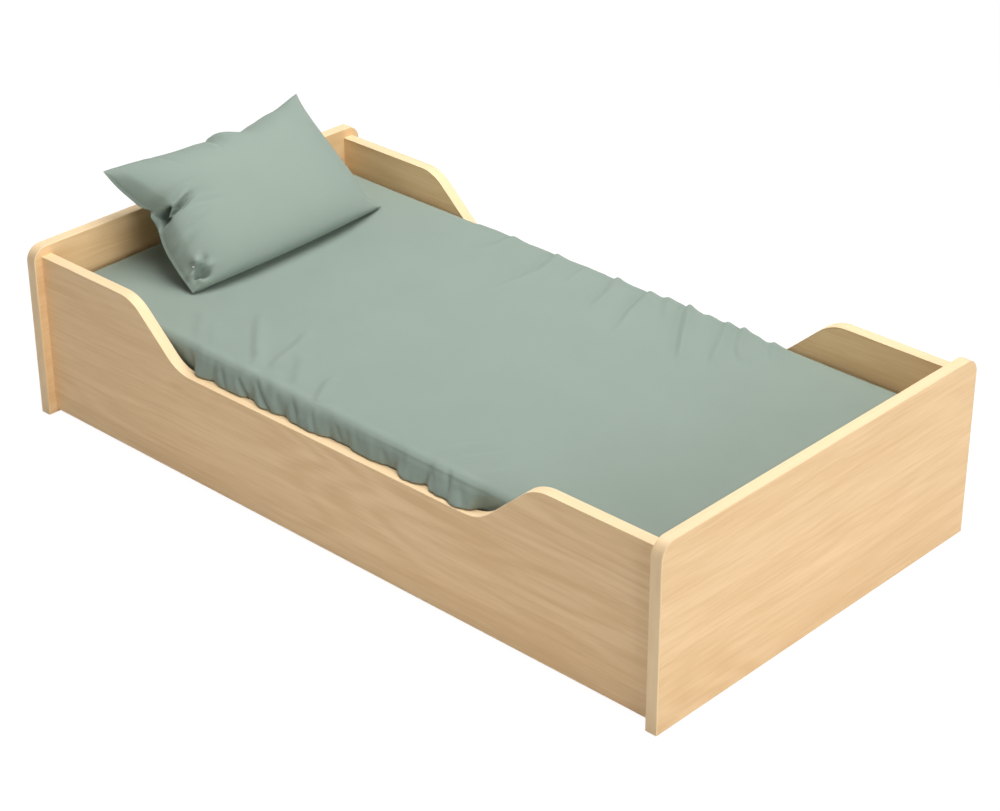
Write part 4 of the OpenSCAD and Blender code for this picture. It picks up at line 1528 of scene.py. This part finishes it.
@dataclass
class Pillow:
    """The pillow that leans on the headboard: its filling and its case."""

    width: float = 0.484
    height: float = 0.275
    half_t: float = 0.072
    foot: tuple = (-0.4954, 0.0186, 0.2568)
    rise: float = math.radians(38.5)
    yaw: float = math.radians(2.5)
    flange: float = 0.0014
    filling_inset: float = 0.003
    columns: int = 180
    rows: int = 144
    tuck: tuple = (-0.221, -0.112)
    tuck_r: float = 0.0070
    tuck_depth: float = 0.90
    tuck_ruffle: float = 0.0052
    pinch_drop: float = 0.009
    pinch_hollow: float = 0.004
    groove_depth: float = 0.66
    back_thin: float = 0.7
    lower_roll: float = 0.017
    side_fold: float = 0.062
    side_tuck: float = 0.003
    side_under: float = 0.005
    ground_gap: float = 0.0016
    press_softness: float = 0.006

    def axes(self) -> tuple[np.ndarray, np.ndarray, np.ndarray]:
        """Gives the pillow's own directions: across, up its slope, and out of its front."""
        across = np.array([-math.sin(self.yaw), math.cos(self.yaw), 0])
        flat = math.cos(self.rise)
        up = np.array([-flat * math.cos(self.yaw), -flat * math.sin(self.yaw), math.sin(self.rise)])
        return across, up, np.cross(across, up)

    def _outline(self, u: np.ndarray, v: np.ndarray) -> tuple[np.ndarray, np.ndarray]:
        """Draws the seam's sides in between the corners.

        Args:
            u: Places across, from -1 to 1.
            v: Places up, from -1 to 1.

        Returns:
            Distances across and up from the pillow's middle.
        """
        left = 0.024 * hump(v, 0.12, 0.55) * (1 - v**4) * (1 - 0.5 * eased(0.1, -0.4, v))
        left = left + 0.012 * hump(v, 0.27, 0.060)
        right = 0.016 * np.where(v < 0, 1 - np.abs(v) ** 12, 1 - np.abs(v) ** 2.5)
        sag = 0.026 * hump(u, 0.42, 0.62) + 0.014 * hump(u, -0.42, 0.42) * eased(0.05, -0.2, u)
        top = sag * (1 - np.abs(u) ** 4)
        for height, middle, spread in TOP_WAVES:
            top = top + height * hump(u, middle, spread)
        bottom = -0.004 * (1 - u**2)
        a = u * self.width / 2 + np.where(u < 0, left, -right) * np.abs(u) ** 1.6
        b = v * self.height / 2 + np.where(v < 0, bottom, -top) * np.abs(v) ** 1.6
        return a, b

    def _pinched(self, points: np.ndarray, a: np.ndarray, b: np.ndarray, room: np.ndarray) -> np.ndarray:
        """Presses the pinch, the tuck by the corner and small creases into the front.

        Args:
            points: The front's points, on their grid.
            a: Their distances across from the middle.
            b: Their distances up from the middle.
            room: From 0 at the seam to 1 inside, how far they may move.

        Returns:
            The moved points.
        """
        facing = np.cross(np.gradient(points, axis=0), np.gradient(points, axis=1))
        facing /= np.linalg.norm(facing, axis=2, keepdims=True)
        up = self.axes()[1]
        out = -self.pinch_hollow * hump(a, -0.150, 0.030) * hump(b, 0.004, 0.016)
        drop = self.pinch_drop * eased(-0.150, -0.190, a) * hump(b, 0.031, 0.0130)
        ta, tb = a - self.tuck[0], b - self.tuck[1]
        ring = np.hypot(ta, tb)
        turn = np.arctan2(tb, ta)
        out += self.tuck_ruffle * np.cos(4 * turn + 0.9) * hump(ring, 0.014, 0.008)
        for wrinkle in WRINKLES:
            out -= wrinkle.pressed(a, b)
        return points + (out * room)[..., None] * facing - (drop * room)[..., None] * up

    def _grid(self) -> tuple[np.ndarray, np.ndarray]:
        """Gives places across and up, closer together towards the seams, with a narrow flange outside."""
        even = [np.linspace(-1, 1, n) for n in (self.columns, self.rows)]
        inner = [0.6 * line + 0.4 * np.sin(np.pi / 2 * line) for line in even]
        made = []
        for line, size in zip(inner, (self.width, self.height)):
            edge = 2 * self.flange / size
            made.append(np.concatenate([[-1], line * (1 - edge), [1]]))
        return made[0], made[1]

    def _fullness(self, u: np.ndarray, v: np.ndarray, side: int) -> tuple[np.ndarray, np.ndarray, np.ndarray]:
        """Gives how full the front or the back is.

        Args:
            u: Places across.
            v: Places up.
            side: 1 for the front and -1 for the back.

        Returns:
            Its fullness from side to side, from the lower seam to the upper one, and how it closes at both.
        """
        eu = np.clip(np.abs(u) / (1 - 2 * self.flange / self.width), 0, 1)
        ev = np.clip(np.abs(v) / (1 - 2 * self.flange / self.height), 0, 1)
        closing = (1 - ev**34) ** 0.5
        tall = np.where(v < 0, (1 - 0.54 * ev**3.9) * closing, (1 - ev**2.4) ** 0.58)
        steep = (1 - eu**3.8) ** 0.56 if side > 0 else (1 - eu**2.0) ** 0.8
        broad = np.where(u < 0, steep, (1 - eu**2.6) ** 0.62)
        return broad, tall, closing

    def _points(self, u: np.ndarray, v: np.ndarray, side: int, inset: float, sheet: Mattress) -> np.ndarray:
        """Places the front or the back.

        Args:
            u: Places across.
            v: Places up.
            side: 1 for the front and -1 for the back.
            inset: How far inside the case the surface lies.
            sheet: The mattress that the pillow lies on.

        Returns:
            The points.
        """
        a, b = self._outline(u, v)
        broad, tall, closing = self._fullness(u, v, side)
        belly = broad * tall
        c = np.maximum(self.half_t * belly + 0.0006, 0.0001)
        if side > 0:
            # The tuck by the lower corner, where the filling lies lower still than the case
            ring = np.hypot(a - self.tuck[0], b - self.tuck[1])
            sunk = 1.0 if inset else self.tuck_depth
            c = c * (1 - sunk * np.exp(-((ring / (self.tuck_r + 4 * inset)) ** 2)))
            # The groove that runs in from the pinch
            groove = hump(a, -0.190, 0.022) * hump(b, 0.008 + 0.22 * (a + 0.178), 0.0050 + inset)
            c = c * (1 - self.groove_depth * groove)
            # The roll over the lower seam
            b = b - self.lower_roll * eased(-0.10, -0.90, v) * closing * broad
        else:
            c = c * (1 - self.back_thin * eased(-0.140, -0.232, a))
        if side > 0 or inset:
            # The left side folds in at the pinch, and the filling keeps further in
            fold = hump(b, 0.011, 0.0118 + 2 * inset) * hump(u, -0.972, 0.042 + 8 * inset)
            a = a + (self.side_fold + 4 * inset) * fold
        # The left seam turns under a little
        under = eased(-0.90, -1.0, u) * eased(1.0, 0.7, np.abs(v))
        a = a + self.side_tuck * under
        c = c - side * self.side_under * under
        across, up, out_of = self.axes()
        middle = np.array(self.foot) + self.height / 2 * up
        made = middle + a[..., None] * across + b[..., None] * up + side * c[..., None] * out_of
        if side > 0:
            made = self._pinched(made, a, b, np.minimum(1, belly * 2.2))
        else:
            made = self._clear_of_edge(made, b + self.height / 2, c, inset)
        ground = sheet.top(made[..., 0], made[..., 1]) + self.ground_gap + inset
        made[..., 2] = np.maximum(made[..., 2], ground)
        return made

    def _clear_of_edge(self, points: np.ndarray, b: np.ndarray, c: np.ndarray, inset: float) -> np.ndarray:
        """Presses the back in where the headboard's upper edge would run into it.

        Args:
            points: The back's points.
            b: Their distances up the slope from the lower seam.
            c: Their distances behind the seam.
            inset: How far inside the case they lie.

        Returns:
            The pressed points.
        """
        gap = 0.0015 + inset
        corner_x = -END_FACE + gap - self.foot[0]
        corner_z = END_H + gap - self.foot[2]
        depth = -corner_x * math.sin(self.rise) - corner_z * math.cos(self.rise)
        at = -corner_x * math.cos(self.rise) + corner_z * math.sin(self.rise)
        lean = (points[..., 1] - self.foot[1]) * math.sin(self.yaw)
        away = b - at
        slope = np.where(away < 0, 1 / math.tan(self.rise), math.tan(self.rise))
        limit = depth + lean * math.sin(self.rise) + slope * np.sqrt(away**2 + 0.008**2) - slope * 0.004
        excess = c - limit
        soft = self.press_softness
        push = soft * np.logaddexp(0, excess / soft)
        push = np.minimum(push, np.maximum(c - 0.0005, 0))
        return points + (push * np.minimum(1, c / 0.01))[..., None] * self.axes()[2]

    def _skin(self, inset: float, sheet: Mattress) -> tuple[np.ndarray, list, np.ndarray]:
        """Builds the closed surface.

        Args:
            inset: How far inside the case it lies.
            sheet: The mattress that the pillow lies on.

        Returns:
            Points, faces, and each face corner's place on the flat cloth.
        """
        us, vs = self._grid()
        reach, full = 1 - 8 * inset, 1 - 30 * inset
        u, v = np.meshgrid(us * reach, vs * reach, indexing="ij")
        n, m = u.shape
        front = self._points(u, v, 1, inset, sheet)
        back = self._points(u, v, -1, inset, sheet)
        number = np.arange(n * m).reshape(n, m)
        rim = np.zeros((n, m), bool)
        rim[[0, -1], :] = True
        rim[:, [0, -1]] = True
        behind = np.where(rim, number, n * m + number)
        seam = (front + back) / 2
        front, back = (seam + full * (skin - seam) for skin in (front, back))
        front[rim] = seam[rim]
        points = np.concatenate([front.reshape(-1, 3), back.reshape(-1, 3)])
        faces, flat = [], []
        place = np.stack([u * self.width / 2, v * self.height / 2], -1)
        for i in range(n - 1):
            for j in range(m - 1):
                ring = ((i, j), (i + 1, j), (i + 1, j + 1), (i, j + 1))
                faces.append([int(number[k]) for k in ring])
                flat += [place[k] for k in ring]
                faces.append([int(behind[k]) for k in reversed(ring)])
                flat += [place[k] + (0, 0.5) for k in reversed(ring)]
        used = np.unique(np.array(faces))
        renumber = np.full(len(points), -1)
        renumber[used] = np.arange(len(used))
        return points[used], renumber[np.array(faces)].tolist(), np.array(flat)

    def _piece(
        self, name: str, inset: float, sheet: Mattress, material: bpy.types.Material
    ) -> bpy.types.Object:
        """Makes one closed piece of the pillow."""
        points, faces, flat = self._skin(inset, sheet)
        piece = mesh_object(name, points, faces)
        layer = piece.data.uv_layers.new(name=CLOTH_MAP)
        layer.data.foreach_set("uv", flat.astype(np.float32).ravel())
        return dressed(piece, material)

    def build(self, mattress: Mattress, finishes: Finishes) -> None:
        """Args:
            mattress: The mattress that it lies on.
            finishes: The bed's finishes.
        """
        case = self._piece("pillow_case_cloth", 0.0, mattress, finishes.sheet)
        filling = self._piece("pillow_fibre", self.filling_inset, mattress, finishes.fibre)
        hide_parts("pillowcase")
        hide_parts("pillow_filling")
        for piece, slot, fill in ((case, "sheet_cloth", 0.8), (filling, "fibre", 0.8)):
            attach(piece, "pillow")
            report(piece)


# Studio


@dataclass(frozen=True)
class Lamp:
    """A round soft box that faces the bed: its direction in degrees, distance, diameter and watts."""

    name: str
    azimuth: float
    elevation: float
    distance: float
    size: float
    watts: float

    def build(self) -> None:
        """Makes the lamp."""
        turn, rise = math.radians(self.azimuth), math.radians(self.elevation)
        way = Vector((math.cos(rise) * math.cos(turn), math.cos(rise) * math.sin(turn), math.sin(rise)))
        data = bpy.data.lights.new(self.name, "AREA")
        data.shape = "DISK"
        data.size = self.size
        data.energy = self.watts
        made = bpy.data.objects.new(self.name, data)
        bpy.context.scene.collection.objects.link(made)
        made.location = way * self.distance
        made.rotation_mode = "QUATERNION"
        made.rotation_quaternion = way.to_track_quat("Z", "Y")


LAMPS = (
    Lamp("overhead", 90, 82, 2.4, 2.2, 65),
    Lamp("behind_head", 175, 35, 6.0, 2.4, 28),
    Lamp("low_key", -13, 9, 6.0, 3.4, 116),
    Lamp("high_key", -16, 28, 6.0, 3.0, 52),
    Lamp("foot_side", 20, 15, 6.0, 2.0, 33),
    Lamp("near_side", -80, 20, 6.0, 2.0, 33),
)


@dataclass
class Studio:
    """Pale floor, soft light and the camera at the photograph's place."""

    camera_at: tuple = (2.63294, -2.74780, 2.21278)
    right: tuple = (0.72878, 0.68474, -0.00295)
    down: tuple = (0.32755, -0.35240, -0.87665)
    forward: tuple = (-0.60132, 0.63792, -0.48111)
    lens: float = 91.02
    fill: float = 0.065
    floor_r: float = 40.0
    glow: float = 1.07
    glow_share: float = 0.9

    def camera(self) -> None:
        """Makes the camera."""
        data = bpy.data.cameras.new("camera")
        data.lens = self.lens
        data.sensor_width = 36
        data.clip_end = 200
        made = bpy.data.objects.new("camera", data)
        bpy.context.scene.collection.objects.link(made)
        turn = Matrix([self.right, [-d for d in self.down], [-f for f in self.forward]]).transposed()
        made.matrix_world = Matrix.Translation(self.camera_at) @ turn.to_4x4()
        bpy.context.scene.camera = made

    def _seen(self, graph: Graph) -> Wire:
        """Gives 1 for rays from the camera, or reflected or bent on their way, and 0 for the others."""
        path = graph.node("ShaderNodeLightPath")
        seen = path.maths("MAXIMUM", path, path.other(GLOSSY_RAY))
        return seen.maths("MAXIMUM", seen, path.other(TRANSMISSION_RAY))

    def world(self) -> None:
        """Makes the world: white where it is seen, and an even fill light elsewhere."""
        world = bpy.data.worlds.new("studio")
        world.use_nodes = True
        bpy.context.scene.world = world
        graph = Graph(world.node_tree)
        graph.tree.nodes.clear()
        seen = self._seen(graph)
        strength = seen + (1.0 - seen) * self.fill
        light = graph.node("ShaderNodeBackground", inputs={"Color": (1, 1, 1, 1), "Strength": strength})
        graph.node("ShaderNodeOutputWorld", inputs={"Surface": light})

    def floor(self) -> None:
        """Makes the floor, which keeps the bed's shadow and is white elsewhere."""
        count = 96
        turns = [2 * math.pi * i / count for i in range(count)]
        ring = [(self.floor_r * math.cos(t), self.floor_r * math.sin(t), 0) for t in turns]
        piece = mesh_object("floor", np.array(ring), [tuple(range(count))], smooth=False)
        paint = Paint("pale_floor")
        haze = paint.noise(paint.place(), 3.0, 2.0)
        tone = paint.mix(haze, (0.86, 0.86, 0.86, 1), (0.88, 0.88, 0.88, 1))
        matt = paint.node("ShaderNodeBsdfDiffuse", inputs={"Color": tone})
        glow = paint.node("ShaderNodeEmission", inputs={"Color": (1, 1, 1, 1), "Strength": self.glow})
        share = self._seen(paint) * self.glow_share
        both = paint.node("ShaderNodeMixShader", inputs={0: share, 1: matt, 2: glow})
        paint.node("ShaderNodeOutputMaterial", inputs={"Surface": both})
        dressed(piece, paint.material)

    def build(self) -> None:
        """Makes everything round the bed."""
        self.camera()
        self.world()
        self.floor()
        for lamp in LAMPS:
            lamp.build()
        bpy.context.scene.view_settings.view_transform = "Standard"


def main() -> None:
    """Builds the bed's sub-assemblies in order."""
    logging.basicConfig(level=logging.INFO, format="%(name)s: %(message)s")
    for unwanted in list(bpy.data.objects):
        bpy.data.objects.remove(unwanted)
    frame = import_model()
    finishes = Finishes()
    BoardFrame().build(frame, finishes)
    SlattedBase().build(frame, finishes)
    mattress = Mattress()
    mattress.build(finishes)
    Pillow().build(mattress, finishes)
    Studio().build()


if __name__ == "__main__":
    main()
